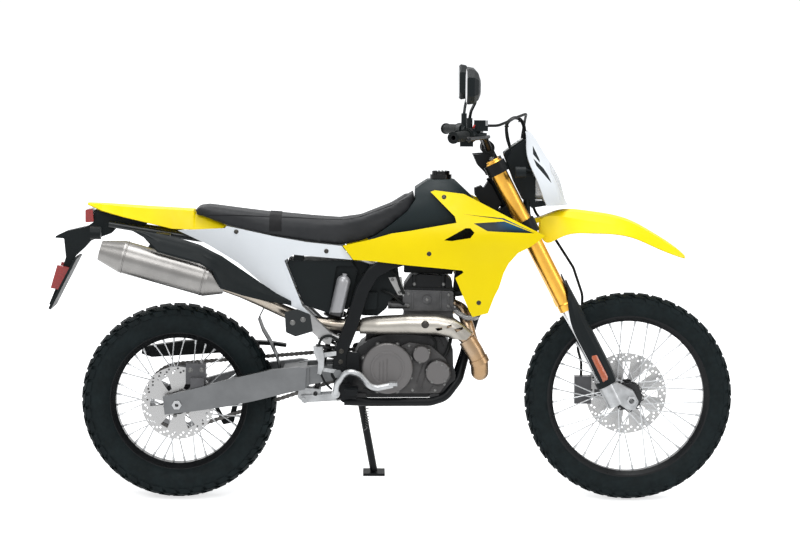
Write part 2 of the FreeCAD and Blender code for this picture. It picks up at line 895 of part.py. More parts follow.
def handlebar():
    solids = [rod(bar_centre() + V(0, -78, 0), bar_centre() + V(0, 78, 0), mm("bar_middle_radius"))]
    for side in (-1, 1):
        solids.append(tube(bar_path(side), mm("bar_radius"), 70))
    whole = fuse_all(solids)
    ends = []
    for side in (-1, 1):
        path = bar_path(side)
        inward = (path[-2] - path[-1]).normalize()
        ends.append(rod(path[-1] - inward * 5, path[-1] + inward * 90, mm("bar_bore")))
    return shape_piece("handlebar", whole.cut(ends))


def grip_ends(side, start, length):
    """Points along the last run of the bar, counted inwards from its tip."""
    path = bar_path(side)
    inward = (path[-2] - path[-1]).normalize()
    return path[-1] + inward * start, path[-1] + inward * (start + length)


def grips():
    solids = []
    for side in (-1, 1):
        outer, inner = grip_ends(side, -2, mm("grip_length"))
        whole = rod(outer, inner, mm("grip_radius"))
        flange = rod(outer, grip_ends(side, 4, 1)[0], mm("grip_radius") + 2.5)
        collar = rod(grip_ends(side, mm("grip_length") - 8, 1)[0], inner, mm("grip_radius") + 5)
        start = grip_ends(side, -6, 1)[0]
        bore = rod(start, grip_ends(side, mm("grip_length") + 8, 1)[0], mm("bar_radius") + 0.15)
        solids.append(fuse_all([whole, flange, collar]).cut(bore))
    return shape_piece("grips", Part.makeCompound(solids))


def lever_nose(side, grow=0.0):
    """The nose of a lever perch, larger all round by grow."""
    low, high = grip_ends(side, mm("grip_length") - 2 + mm("seat_gap") + 38, 26)
    ahead = V(45.6, side * 6, -4)
    return rod((low + high) / 2, (low + high) / 2 + ahead * (1 + grow / ahead.Length), 11 + grow)


def bar_controls():
    """Switch pods, throttle drum, lever perches and the brake fluid reservoir."""
    gap = mm("seat_gap")
    start = mm("grip_length") - 2 + gap
    solids = []
    for side in (-1, 1):
        base, tip = grip_ends(side, start, 34)
        pod = rod(base, tip, 24 if side < 0 else 21)
        corner = (base + tip) / 2
        drop = box_at(corner + V(-6, 0, -20), 42, 15, 30)
        solids.append(fuse_all([pod, drop]))
        low, high = grip_ends(side, start + 38, 26)
        perch = rod(low, high, 16)
        nose = lever_nose(side)
        boss = rod((low + high) / 2 + V(-9, 0, 0), (low + high) / 2 + V(-9, 0, 20), 8)
        whole = fuse_all([perch, nose, boss])
        if side < 0:
            tank = box_at((low + high) / 2 + V(28, 8, 30), 44, 42, 34)
            neck = rod((low + high) / 2 + V(14, 4, 4), (low + high) / 2 + V(20, 4, 20), 10)
            whole = fuse_all([whole, tank, neck])
        solids.append(whole)
    cutters = []
    for side in (-1, 1):
        low, high = grip_ends(side, start - 4, 110)
        cutters.append(rod(low, high, mm("bar_radius") + 0.15))
    solids = [item.cut(cutters) for item in solids]
    return shape_piece("bar_controls", Part.makeCompound(solids))


def box_at(centre, length, width, height):
    corner = centre - V(length / 2, width / 2, height / 2)
    return Part.makeBox(length, width, height, corner)


def bar_levers():
    """The front brake and clutch levers, ahead of the grips."""
    solids = []
    start = mm("grip_length") - 2 + mm("seat_gap") + 51
    for side in (-1, 1):
        points = [grip_ends(side, start, 1)[0] + V(52, side * 8, -5)]
        for along, ahead in ((110, 58), (60, 52), (4, 48)):
            points.append(grip_ends(side, along, 1)[0] + V(ahead, 0, -5))
        lever = fuse_all([tube(points, 6.0, 40), Part.makeSphere(8.5, points[-1])])
        solids.append(lever.cut(lever_nose(side, mm("seat_gap"))))
    return shape_piece("bar_levers", Part.makeCompound(solids))


def mirrors():
    """Rear view mirrors on stalks from the lever perches."""
    solids = []
    start = mm("grip_length") - 2 + mm("seat_gap") + 38 + 13
    reach = mm("mirror_reach")
    for side in (-1, 1):
        root = grip_ends(side, start, 1)[0] + V(-9, 0, 20 + mm("seat_gap"))
        head = V(root.x + 8, side * (reach - 78), root.z + 107)
        stalk = [root, root + V(0, 0, 34), root + V(4, side * 24, 58), head + V(6, -side * 12, -20), head]
        boot = rod(root, root + V(0, 0, 34), 9.5)
        solids.append(fuse_all([tube(stalk, 5.0, 20), boot, mirror_head(head, side)]))
    return shape_piece("mirrors", Part.makeCompound(solids))


def mirror_head(head, side):
    """A rounded shell, flat at the glass and domed towards the front."""
    outline = [(-78, -32), (-70, 40), (-30, 66), (44, 60), (78, 34), (76, -26), (40, -52), (-50, -54)]
    rings = []
    for ahead, share in ((-22, 0.94), (-17, 1.0), (0, 0.95), (14, 0.72), (21, 0.4)):
        rings.append([head + V(ahead, side * y * share, 26 + z * share) for y, z in outline])
    return loft(rings, True)


# Front fender, cowl and lamps

FENDER_STATIONS = (
    # x and height of the ridge, half width and drop of the crease, half width and drop of the edge
    (-300, 597, 44, 8, 58, 62),
    (-255, 614, 52, 12, 74, 92),
    (-205, 622, 56, 26, 82, 78),
    (-140, 616, 58, 30, 86, 68),
    (-70, 606, 58, 30, 84, 60),
    (0, 586, 54, 28, 78, 52),
    (70, 549, 48, 26, 66, 44),
    (130, 512, 40, 22, 52, 32),
    (165, 486, 30, 14, 38, 18),
    (182, 470, 16, 5, 20, 7),
)


def front_fender():
    """A high fender: one curved sheet with a ridge, side creases and falling edges."""
    rings = []
    thick = mm("fender_thickness")
    for ahead, top, crease, crease_drop, edge, drop in FENDER_STATIONS:
        outer = [(-edge, top - drop), (-crease, top - crease_drop)]
        outer += [(-crease * 0.55, top - crease_drop * 0.25), (0, top)]
        outer = outer + [(-y, z) for y, z in outer[-2::-1]]
        ring = ribbon(outer[::-1], thick)
        rings.append([V(FRONT_AXLE.x + ahead, y, FRONT_AXLE.z + z) for y, z in ring])
    face = 38 + mm("seat_gap")
    base = mm("lower_clamp_base")
    tongue = [steer(face, -22, base + 14), steer(face, -22, base + 34)]
    tongue += [FRONT_AXLE + V(x, -22, z) for x, z in ((-292, 596), (-262, 606), (-262, 596))]
    bracket = Part.Face(Part.makePolygon(tongue + tongue[:1])).extrude(V(0, 44, 0))
    return shape_piece("front_fender", loft(rings).fuse(bracket).removeSplitter())


COWL_STATIONS = (
    # height above the front axle, x of the nose, x and half width of the cheeks, x and half width of the edge
    (636, -207, -232, 60, -280, 88),
    (690, -227, -250, 74, -304, 104),
    (740, -246, -274, 74, -325, 104),
    (790, -278, -302, 64, -345, 92),
    (840, -309, -326, 50, -349, 74),
    (878, -337, -343, 34, -351, 52),
)


def cowl_rings(inset=0.0):
    rings = []
    for up, nose, cheek, cheek_half, edge, edge_half in COWL_STATIONS:
        half = [(edge - inset, -(edge_half - inset)), (cheek - inset, -(cheek_half - inset))]
        half.append((nose - inset, -18))
        rings.append((up, half + [(x, -y) for x, y in half[::-1]]))
    return rings


def cowl_sheet(grow=0.0):
    """The bent sheet of the mask, thicker towards its inside by grow."""
    rings = []
    for up, outer in cowl_rings():
        rings.append([FRONT_AXLE + V(x, y, up) for x, y in ribbon(outer, mm("panel_thickness") + grow)])
    return loft(rings)


def headlight_cowl():
    """The headlight mask with its window for the lamp."""
    return shape_piece("headlight_cowl", cowl_sheet().cut(lamp_window(0.0)))


def lamp_window(inset):
    """The lamp opening, seen from the front, as a prism along x."""
    outline = [(-50, 668), (-56, 745), (-30, 772), (30, 772), (56, 745), (50, 668), (26, 652), (-26, 652)]
    scaled = [(y * (1 - inset / 60), 712 + (z - 712) * (1 - inset / 60)) for y, z in outline]
    points = [FRONT_AXLE + V(-420, y, z) for y, z in scaled]
    return Part.Face(rounded_wire(points, 10, True)).extrude(V(240, 0, 0))


def headlight():
    """The lamp body behind the window of the mask."""
    block = lamp_window(0.5)
    rings = []
    for up, outer in cowl_rings(1.0):
        rings.append([FRONT_AXLE + V(x, y * 0.98, up) for x, y in outer + [(-420, 70), (-420, -70)]])
    lamp = block.common(loft(rings))
    keep = Part.makeBox(110, 200, 200, FRONT_AXLE + V(mm("lamp_back"), -100, 640))
    return shape_piece("headlight", lamp.common(keep))


def bar_risers():
    """The two blocks between the upper clamp and the handlebar."""
    outline = [(966, 1148), (982, 1112), (998, 1096), (1014, 1080), (1036, 1130), (1016, 1152)]
    return [prism_y(outline, side * 44 - 15, side * 44 + 15) for side in (-1, 1)]


def lamp_housing():
    """The black housing between the gauge, the fork clamps and the lamp."""
    face = FRONT_AXLE.x + mm("lamp_back") - mm("seat_gap")
    outline = [(1076, 1132), (1092, 1166), (1109, 1180), (1140, 1198), (1144, 1131), (face, 1070)]
    outline += [(face, 994), (1204, 992), (1208, 982), (1160, 974), (1132, 1000), (1102, 1060)]
    return prism_y(outline, -mm("housing_half"), mm("housing_half"))


def cowl_arm(side, grow=0.0):
    """The arm from the gauge to the inside of the mask."""
    return rod(FRONT_AXLE + V(-375, side * 42, 756), FRONT_AXLE + V(-300, side * 96, 740), 7 + grow)


def instrument_pod():
    """The gauge box, the lamp's housing and the arms that hold the mask and both of them."""
    back = FRONT_AXLE
    side = [(-424, 806), (-352, 858), (-346, 800), (-352, 742), (-400, 742)]
    points = [back + V(x, -46, z) for x, z in side]
    gauge = Part.Face(rounded_wire(points, 8, True)).extrude(V(0, 92, 0))
    arms = []
    for sign in (-1, 1):
        foot = steer(mm("fork_lead") + 12, sign * 52, mm("upper_clamp_base") + mm("upper_clamp_height") / 2)
        arms.append(rod(foot, back + V(-385, sign * 40, 760), 8))
        low = steer(mm("fork_lead") + 12, sign * 58, mm("lower_clamp_base") + mm("lower_clamp_height") / 2)
        arms.append(rod(low, back + V(-345, sign * 52, 655), 8))
        arms.append(cowl_arm(sign))
    gap = mm("seat_gap")
    tools = clamp_plates(gap) + [cowl_sheet(gap)] + bar_risers()
    whole = fuse_all([gauge, lamp_housing()] + arms).cut(tools)
    return max(whole.Solids, key=lambda solid: solid.Volume)


def control_cables():
    """The bundle of cables that loops from the gauge up ahead of the bars and down to the lamp's housing."""
    places = ((1092, -24, 1158), (1079, -22, 1205), (1077, -16, 1245), (1092, -8, 1263), (1110, 0, 1268))
    places += ((1127, 6, 1257), (1136, 10, 1234), (1138, 12, 1190))
    loop = tube([bike(*place) for place in places], mm("cable_bundle_radius"), 24)
    return shape_piece("control_cables", loop.cut(PIECES["instrument_pod"].Shape))


def steered_pieces():
    fork_tubes()
    fork_stanchions()
    fork_feet()
    shape_piece("fork_guards", Part.makeCompound(guard_solids()))
    triple_clamps()
    handlebar()
    grips()
    bar_controls()
    bar_levers()
    mirrors()
    front_fender()
    headlight_cowl()
    headlight()
    shape_piece("instrument_pod", instrument_pod())
    control_cables()
    front_axle()
    front_caliper()
    hoses()
    front_indicators()


def front_axle():
    half = mm("front_hub_half")
    gap = mm("seat_gap")
    face = mm("fork_half_track") - 24
    collars = ((-face + gap, -half - gap, 17), (half + gap, face - gap, 17))
    axle_shaft("front_axle", FRONT_AXLE, "front", collars, face + 58, 17)


def guard_solids():
    """The fork guards with the clamps that hold them on the fork feet."""
    solids = []
    for side, sheet in zip((-1, 1), fork_guards()):
        low = steer(mm("fork_lead"), side * mm("fork_half_track"), mm("fork_foot") + 44)
        band = rod(low, low + STEER_UP * 20, 33.5)
        whole = sheet.fuse(band)
        low = low - STEER_UP * 40
        hole = rod(low, low + STEER_UP * 80, mm("stanchion_radius") + 5 + mm("seat_gap"))
        solids.append(whole.cut(hole))
    return solids


def front_caliper():
    """A sliding caliper over the front disc, bolted to the left fork foot."""
    offset = mm("front_disc_offset")
    gap = mm("seat_gap")
    centre = FRONT_AXLE + V(-146, offset - 1, 12)
    body_solid = box_at(centre, 56, 42, 92)
    slot = ring_y(FRONT_AXLE, offset - 7, offset + 7, mm("front_disc_radius") + 6)
    face = mm("fork_half_track") - mm("stanchion_radius") - 5
    plate = box_at(FRONT_AXLE + V(-96, face - 3 - gap, 0), 112, 6, 34)
    whole = body_solid.cut(slot).fuse(plate)
    return shape_piece("front_caliper", whole.removeSplitter())


def hoses():
    """The brake hose from the reservoir, over to the left and down to the front caliper."""
    start = mm("grip_length") - 2 + mm("seat_gap") + 51
    right = grip_ends(-1, start, 1)[0] + V(50 + mm("seat_gap"), 8, 30)
    left = mm("front_disc_offset") + 12
    brake = [
        right,
        right + V(32, 0, 0),
        right + V(72, 50, 14),
        right + V(88, 110, 20),
        FRONT_AXLE + V(-350, -40, 936),
        FRONT_AXLE + V(-350, 36, 914),
        FRONT_AXLE + V(-358, 72, 850),
        FRONT_AXLE + V(-352, 84, 760),
        FRONT_AXLE + V(-338, 94, 670),
        FRONT_AXLE + V(-306, 97, 600),
        FRONT_AXLE + V(-245, 93, 520),
        FRONT_AXLE + V(-180, 82, 420),
        FRONT_AXLE + V(-150, 62, 330),
        FRONT_AXLE + V(-152, 59, 240),
        FRONT_AXLE + V(-164, 64, 150),
        FRONT_AXLE + V(-150, left, 104),
        FRONT_AXLE + V(-150, left, 58 + mm("seat_gap")),
    ]
    return shape_piece("brake_hose", tube(brake, 4.5, 60))


def front_indicators():
    """Round turn signals on short stems from the lower stay."""
    solids = []
    for side in (-1, 1):
        base = FRONT_AXLE + V(-376, side * (mm("housing_half") + mm("seat_gap")), 749)
        tip = FRONT_AXLE + V(-376, side * 140, 749)
        lamp = Part.makeCylinder(18, 34, tip + V(-14, side * 8, 0), V(1, 0, 0))
        solids.append(fuse_all([rod(base, tip, 7), lamp]).cut(cowl_arm(side, mm("seat_gap"))))
    return shape_piece("front_indicators", Part.makeCompound(solids))


# Frame

SPAR_PLACES = (
    # x, share of the half track, z
    (1088, 0.16, 962),
    (1010, 0.42, 910),
    (930, 0.70, 870),
    (695, 0.94, 795),
    (640, 1.0, 765),
    (605, 1.0, 705),
    (573, 1.0, 600),
    (535, 1.0, 500),
    (530, 1.0, 436),
    (545, 1.0, 345),
)


CRADLE_PLACES = (
    # x, share of its half track, z
    (965, 0, 572),
    (945, 0.42, 480),
    (925, 0.76, 410),
    (880, 0.95, 352),
    (830, 1, 337),
    (640, 1, 335),
    (548, 1, 338),
)


def spar(side, grow=0.0):
    half = mm("spar_half_track")
    points = [bike(x, side * half * share, z) for x, share, z in SPAR_PLACES]
    return box_tube(points, 60, mm("spar_width") + 2 * grow, mm("spar_depth") + 2 * grow)


def cradle(side, grow=0.0):
    track = mm("spar_half_track") - 8
    points = [bike(x, side * track * share, z) for x, share, z in CRADLE_PLACES]
    return tube(points, mm("cradle_radius") + grow, 60)


def down_tube(grow=0.0):
    return rod(bike(1089, 0, 985), bike(963, 0, 560), 17 + grow)


def frame_tubes(grow=0.0):
    """Every tube of the frame, thicker all round by grow, as a tool for what is seated on it."""
    tubes = [down_tube(grow)]
    for side in (-1, 1):
        tubes += [spar(side, grow), cradle(side, grow)]
    return tubes


def shock_cross_tube(grow=0.0):
    """The cross tube with the block that holds the shock's upper eye."""
    half = mm("spar_half_track")
    across = rod(bike(616, -half, 748), bike(616, half, 748), 13 + grow)
    eye = shock_high().x + 15 + mm("seat_gap") - grow
    corner = V(eye, -17 - grow, 730 - grow)
    block = Part.makeBox(bike(616, 0, 0).x - eye, 34 + 2 * grow, 30 + 2 * grow, corner)
    return across.fuse(block)


def main_frame():
    """Twin box spars, a down tube that splits into a cradle, the head tube and the cross tubes."""
    head = rod(steer(0, 0, HEAD_LOW), steer(0, 0, HEAD_HIGH), mm("head_tube_radius"))
    half = mm("spar_half_track")
    solids = frame_tubes() + [head]
    solids.append(rod(bike(640, -half, 775), bike(640, half, 775), 15))
    solids.append(rod(bike(548, -half, 347), bike(548, half, 347), 13))
    solids.append(shock_cross_tube())
    gusset = [(974, 1014), (972, 1036), (995, 1045), (1003, 1037), (1017, 1060), (1031, 1044)]
    gusset += [(1062, 985), (1040, 950), (1010, 966)]
    solids.append(prism_y(gusset, -24, 24))
    outer = half + mm("spar_width") / 2
    for side, front in ((-1, 596), (1, 562)):
        solids.append(rod(PIVOT + V(0, side * (half - 15), 0), PIVOT + V(0, side * (outer + 4), 0), 24))
        foot = [(530, 505), (556, 503), (front, 499), (front, 450), (front - 14, 420), (556, 348), (530, 348)]
        low, high = sorted((side * (half - 10), side * (half + 8)))
        solids.append(prism_y(foot, low, high))
    solids.append(box_at(bike(600, outer - 16, 318), 46, 28, 40))
    solids.append(rod(stand_pivot() - stand_axis() * 14, stand_pivot() + stand_axis() * 13, 6))
    whole = fuse_all(solids)
    stem = rod(steer(0, 0, HEAD_LOW - 20), steer(0, 0, HEAD_HIGH + 20), mm("stem_radius") + mm("running_gap"))
    shaft = rod(PIVOT - V(0, 200, 0), PIVOT + V(0, 200, 0), mm("pivot_radius") + mm("running_gap"))
    return shape_piece("main_frame", whole.cut([stem, shaft]))


def subframe_rail(side, grow=0.0):
    places = ((664, 100, 786), (560, 78, 822), (320, 74, 846), (60, 62, 868), (-228, 42, 912))
    return tube([bike(x, side * y, z) for x, y, z in places], 11 + grow, 120)


def subframe_stay(side, grow=0.0):
    places = ((548, 106, 536), (500, 100, 556), (385, 92, 664), (240, 85, 784), (165, 70, 860))
    return tube([bike(x, side * y, z) for x, y, z in places], 9.5 + grow, 90)


def peg_hanger():
    """The passenger peg's bracket outside the right stay, on two bosses."""
    outline = [(352, 632), (392, 642), (432, 626), (472, 592), (510, 556), (502, 526), (484, 530)]
    outline += [(440, 568), (388, 552), (356, 566)]
    plate = rounded_prism(outline, 6, -124, -116)
    bosses = [rod(bike(x, -100, z), bike(x, -118, z), 8) for x, z in ((488, 550), (464, 586))]
    return [plate] + bosses


def subframe():
    """The bolt-on tail frame, cut where it seats against the spars."""
    solids = []
    for side in (-1, 1):
        solids += [subframe_rail(side), subframe_stay(side)]
    solids.append(rod(bike(300, -74, 848), bike(300, 74, 848), 10))
    solids.append(rod(bike(-150, -48, 900), bike(-150, 48, 900), 9))
    hanger = prism_y([(-20, 884), (-66, 890), (-96, 838), (-56, 822)], -140, -44)
    solids.append(hanger)
    gap = mm("seat_gap")
    tools = [spar(side, gap) for side in (-1, 1)] + [silencer_body(gap)]
    for side in (-1, 1):
        if side > 0:
            solids.append(rod(bike(487, side * 70, 829), bike(487, side * 150, 829), 8))
        solids.append(rod(bike(192, side * 62, 857), bike(192, side * 150, 857), 8))
        tools.append(skin_space(SIDE_ROWS, SIDE_HEIGHTS, side))
    whole = fuse_all(solids)
    tools.append(rod(bike(640, -200, 775), bike(640, 200, 775), 15 + gap))
    return shape_piece("subframe", fuse_all([whole.cut(tools)] + peg_hanger()))


# Swing arm, chain and rear brake


SWING_TOP = ((-46, 351), (100, 390), (200, 417), (300, 440), (400, 452))
SWING_LOW = ((420, 378), (370, 368), (250, 338), (150, 318), (50, 303), (-40, 292))


def swing_arms(grow=0.0):
    inner = mm("swing_inner") - grow
    outer = mm("swing_inner") + mm("swing_wall") + grow
    outline = list(SWING_TOP) + [(424, 448)] + list(SWING_LOW)
    if grow:
        outline = [(x, z + (grow if z > 400 or index < 6 else -grow)) for index, (x, z) in enumerate(outline)]
    return [prism_y(outline, inner, outer), prism_y(outline, -outer, -inner)]


def swing_arm():
    """The swing arm with its axle ends, cross box, neck and pivot shaft."""
    inner = mm("swing_inner")
    wall = mm("swing_wall")
    outer = inner + wall
    solids = swing_arms()
    solids.append(prism_y([(346, 436), (424, 448), (424, 380), (352, 372)], -inner - 4, inner + 4))
    neck_half = mm("spar_half_track") - mm("spar_width") / 2 - 8
    neck = [(410, 448), (470, 452), (PIVOT.x + 6, 456), (PIVOT.x + 6, 408), (470, 396), (410, 384)]
    for side in (-1, 1):
        low, high = sorted((side * (neck_half - 30), side * neck_half))
        solids.append(prism_y(neck, low, high))
        low, high = sorted((side * (neck_half - 30), side * (inner + 6)))
        solids.append(prism_y([(396, 446), (432, 448), (432, 386), (396, 380)], low, high))
    solids.append(rod(PIVOT - V(0, neck_half, 0), PIVOT + V(0, neck_half, 0), 24))
    reach = mm("spar_half_track") + mm("spar_width") / 2 + 14
    solids.append(rod(PIVOT - V(0, reach, 0), PIVOT + V(0, reach, 0), mm("pivot_radius")))
    for side in (-1, 1):
        low, high = sorted((side * (reach - 9), side * reach))
        solids.append(hexagon(V(PIVOT.x, low, PIVOT.z), 15, high - low))
    whole = fuse_all(solids)
    bore = ring_y(REAR_AXLE, -outer - 1, outer + 1, mm("rear_axle_radius") + mm("running_gap"))
    tunnel = rod(shock_low(), shock_high(), mm("shock_rod_space"))
    return shape_piece("swing_arm", whole.cut([bore, tunnel]))


def shock_low():
    return bike(452, 0, 352)


def shock_high():
    return bike(548, 0, 742)


def shock_tank(grow=0.0):
    high = bike(543, -104, 730)
    return rod(bike(519, -104, 622), high, 23 + grow).fuse(Part.makeSphere(23 + grow, high))


def rear_shock():
    """The shock absorber with its coil spring and its reservoir."""
    low = shock_low()
    high = shock_high()
    up = (high - low).normalize()
    solids = [rod(low, high, 9), rod(low + up * 200, high - up * 10, 24)]
    solids.append(rod(low + up * 128, low + up * 140, 40))
    solids.append(rod(low + up * 330, low + up * 342, 40))
    spring = []
    turns = 7
    pitch = 190.0 / turns
    helix = Part.makeHelix(pitch, 190.0, 34)
    ring = Part.Wire(Part.makeCircle(5.5, V(34, 0, 0), V(0, 1, 0)))
    coil = helix.makePipeShell([ring], True, True)
    coil.Placement = FreeCAD.Placement(low + up * 140, FreeCAD.Rotation(V(0, 0, 1), up))
    spring.append(coil)
    for end in (low, high):
        solids.append(Part.makeCylinder(15, 34, end - V(0, 17, 0), V(0, 1, 0)))
    neck = rod(bike(545, -104, 742), bike(548, -104, 758), 8)
    return solids, spring, [shock_tank(), neck]


def shock_piece():
    solids, spring, tank = rear_shock()
    return shape_piece("rear_shock", Part.makeCompound([fuse_all(solids + spring), fuse_all(tank)]))


def linkage():
    """The rocker and pull rods under the swing arm, held on the shock's lower eye."""
    gap = mm("seat_gap")
    solids = []
    for side in (-1, 1):
        low, high = sorted((side * (17 + gap), side * 27))
        plate = prism_y([(398, 372), (470, 366), (468, 336), (415, 318), (392, 340)], low, high)
        solids.append(plate)
        low, high = sorted((side * (27 + gap), side * 37))
        solids.append(prism_y([(404, 346), (408, 322), (546, 331), (556, 345), (540, 354)], low, high))
    bolt = rod(bike(412, -42, 334), bike(412, 42, 334), 7)
    tools = [rod(bike(548, -200, 347), bike(548, 200, 347), 13 + gap)]
    tools += [rod(shock_low() - V(0, 60, 0), shock_low() + V(0, 60, 0), 7 + gap)]
    return shape_piece("linkage", fuse_all([item.cut(tools) for item in solids] + [bolt]))


def chain_arcs(grow, y):
    """A belt around both sprockets: its corners on the drive sprocket and on the rear one, a link apart."""
    rear = sprocket_radius(mm("sprocket_teeth"))
    front = sprocket_radius(mm("drive_sprocket_teeth"))
    gap = drive_centre() - REAR_AXLE
    slope = math.atan2(gap.z, gap.x)
    lead = math.acos((rear - front) / gap.Length)
    arcs = []
    for centre, radius, start, turn in (
        (drive_centre(), front, slope + lead, 2 * lead),
        (REAR_AXLE, rear, slope - lead, 2 * (math.pi - lead)),
    ):
        links = round(turn * radius / mm("chain_pitch"))
        angles = [start - turn * index / links for index in range(links + 1)]
        arcs.append([centre + polar(radius + grow, angle, y) for angle in angles])
    return arcs


def drive_centre():
    return bike(606, 0, 452)


def chain():
    """The drive chain: two loops of side plates, joined by link blocks on the straight runs."""
    half = mm("chain_height") / 2
    plate = mm("chain_plate")
    solids = []
    for side in (-1, 1):
        y = mm("chain_offset") + side * (mm("chain_gap") + plate) / 2 - plate / 2
        faces = []
        for grow in (half, -half):
            first, second = chain_arcs(grow, y)
            faces.append(Part.Face(Part.makePolygon(first + second + first[:1])))
        solids.append(faces[0].cut(faces[1]).extrude(V(0, plate, 0)))
    front, rear = chain_arcs(0, mm("chain_offset"))
    reach = mm("chain_gap") / 2 + 1
    pitch = mm("chain_pitch")
    for start, end in ((rear[-1], front[0]), (rear[0], front[-1])):
        ahead = (end - start).normalize()
        up = V(-ahead.z, 0, ahead.x)
        count = int((end - start).Length / pitch / 2)
        for index in range(2, count - 1):
            middle = start + (end - start) * (index / count)
            corners = [(-0.42, -5), (0.42, -5), (0.42, 5), (-0.42, 5)]
            ring = [middle + ahead * (pitch * u) + up * w - V(0, reach, 0) for u, w in corners]
            solids.append(Part.Face(Part.makePolygon(ring + ring[:1])).extrude(V(0, 2 * reach, 0)))
    return shape_piece("chain", fuse_all(solids))


def chain_guards():
    """The guard above the chain and the guide below it, on lugs of the swing arm."""
    gap = mm("seat_gap")
    low = mm("chain_offset") + 14
    high = low + 12
    guard = [(-132, 470), (-128, 492), (0, 512), (140, 520), (300, 512), (352, 504), (352, 494), (300, 500)]
    guard += [(140, 506), (0, 498)]
    top = rounded_prism(guard, 3, low - 27, high)
    flap = [(-136, 466), (-100, 454), (190, 474), (200, 512), (140, 514), (0, 506), (-126, 486)]
    skirt = prism_y(flap, high - 3, high)
    post = prism_y([(240, 400), (262, 400), (262, 508), (240, 508)], low + 4, high)
    guide = rounded_prism([(92, 322), (196, 330), (176, 236), (140, 228)], 6, low, low + 6)
    window = rounded_prism([(112, 310), (176, 314), (160, 252), (146, 248)], 5, low - 1, low + 7)
    lug_block = prism_y([(110, 322), (190, 330), (190, 350), (110, 345)], low, mm("swing_inner") - gap)
    tools = swing_arms(gap)
    shapes = [fuse_all([top, skirt, post]).cut(tools), fuse_all([guide.cut(window), lug_block]).cut(tools)]
    return shape_piece("chain_guards", Part.makeCompound(shapes))


def rear_caliper():
    """The rear caliper above the swing arm, over the disc."""
    offset = -mm("rear_disc_offset")
    centre = REAR_AXLE + V(60, offset, 98)
    block = box_at(centre, 66, 42, 68)
    slot = ring_y(REAR_AXLE, offset - 7, offset + 7, mm("rear_disc_radius") + 6)
    inner = mm("swing_inner")
    foot = prism_y([(44, 412), (88, 412), (88, 360), (44, 350)], -inner - 20, -inner + 5)
    whole = block.cut(slot).fuse(foot.cut(slot))
    return shape_piece("rear_caliper", whole.removeSplitter().cut(swing_arms(mm("seat_gap"))))


# Engine

CRANKCASE_OUTLINE = (
    # x, z
    (572, 378),
    (600, 358),
    (880, 358),
    (910, 382),
    (914, 425),
    (906, 450),
    (904, 510),
    (880, 548),
    (740, 560),
    (690, 560),
    (640, 546),
    (596, 516),
    (572, 470),
)


def crankcase_block():
    """The crankcase without its lugs, with the breather housing on its top, clear of the exhaust."""
    half = mm("engine_half_width")
    block = rounded_prism(list(CRANKCASE_OUTLINE), 12, -half, half)
    housing = rounded_prism([(610, 510), (626, 572), (650, 588), (728, 590), (740, 510)], 8, -44, 62)
    return fuse_all([block, housing])


def crankcase():
    """The crankcase block with its mounting lugs, its output shaft and the drive sprocket."""
    half = mm("engine_half_width")
    centre = drive_centre()
    recess = Part.makeCylinder(66, 200, centre + V(0, mm("chain_offset") - 18, 0), V(0, 1, 0))
    back = prism_y([(540, 519), (606, 518), (606, 386), (540, 360)], mm("chain_offset") - 18, half + 1)
    teeth = int(mm("drive_sprocket_teeth"))
    thick = mm("chain_gap") - 2 * mm("seat_gap")
    wheel = toothed_face(teeth, centre + V(0, mm("chain_offset") - thick / 2, 0)).extrude(V(0, thick, 0))
    shaft = Part.makeCylinder(15, 40, centre + V(0, mm("chain_offset") - 30, 0), V(0, 1, 0))
    track = mm("spar_half_track") - 8
    lugs = []
    for side in (-1, 1):
        for x in (604, 845):
            lugs.append(box_at(bike(x, side * (half - 2), 352), 30, 34, 24))
    whole = fuse_all([crankcase_block().cut([recess, back]), wheel, shaft] + lugs)
    tools = [cradle(side, mm("seat_gap")) for side in (-1, 1)]
    tools.append(rod(bike(548, -200, 347), bike(548, 200, 347), 13.3))
    return shape_piece("crankcase", whole.cut(tools))


def cylinder_head():
    """The barrel and the head, with the intake, its throttle body, the head stay and the exhaust port."""
    barrel = rounded_prism([(742, 560), (896, 548), (902, 560), (905, 640), (742, 640)], 3, -62, 62)
    head = rounded_prism([(738, 634), (905, 634), (905, 700), (738, 704)], 8, -76, 76)
    intake = tube([bike(745, 0, 672), bike(690, 0, 680), bike(640, 0, 690)], 27, 60)
    throttle = prism_y([(626, 679), (655, 685), (650, 642), (624, 644)], -70, -12)
    stay = prism_y([(690, 742), (734, 745), (741, 704), (741, 684), (723, 684)], -62, -54)
    injector = rod(bike(700, -70, 652), bike(760, -70, 652), 11)
    starter = rod(bike(690, -52, 652), bike(745, -52, 652), 14)
    plug = cylinder_y(818, 672, 14, -84, -70)
    ribs = []
    for x in (770, 862, 888):
        ribs.append(prism_y([(x - 3, 640), (x + 3, 640), (x + 3, 696), (x - 3, 696)], -79, 79))
    for z in (572, 590, 608):
        ribs.append(rounded_prism([(740, z), (907, z), (907, z + 5), (740, z + 5)], 1.5, -66, 66))
    whole = fuse_all([barrel, head, intake, throttle, stay, injector, starter, plug] + ribs)
    return shape_piece("cylinder_head", whole.cut(crankcase_block()))


def cam_cover():
    """The cam cover with a rib around its foot and two bolt bosses on each side."""
    outline = [(744, 705), (902, 701), (900, 733), (885, 748), (796, 754), (762, 745), (743, 717)]
    cover = rounded_prism(outline, 5, -68, 68)
    foot = prism_y([(742, 705), (904, 701), (904, 708), (742, 712)], -74, 74)
    bosses = []
    for x in (776, 872):
        bosses.append(rod(bike(x, -62, 708), bike(x, -62, 752), 9))
        bosses.append(rod(bike(x, 62, 708), bike(x, 62, 752), 9))
    return shape_piece("cam_cover", fuse_all([cover, foot] + bosses))


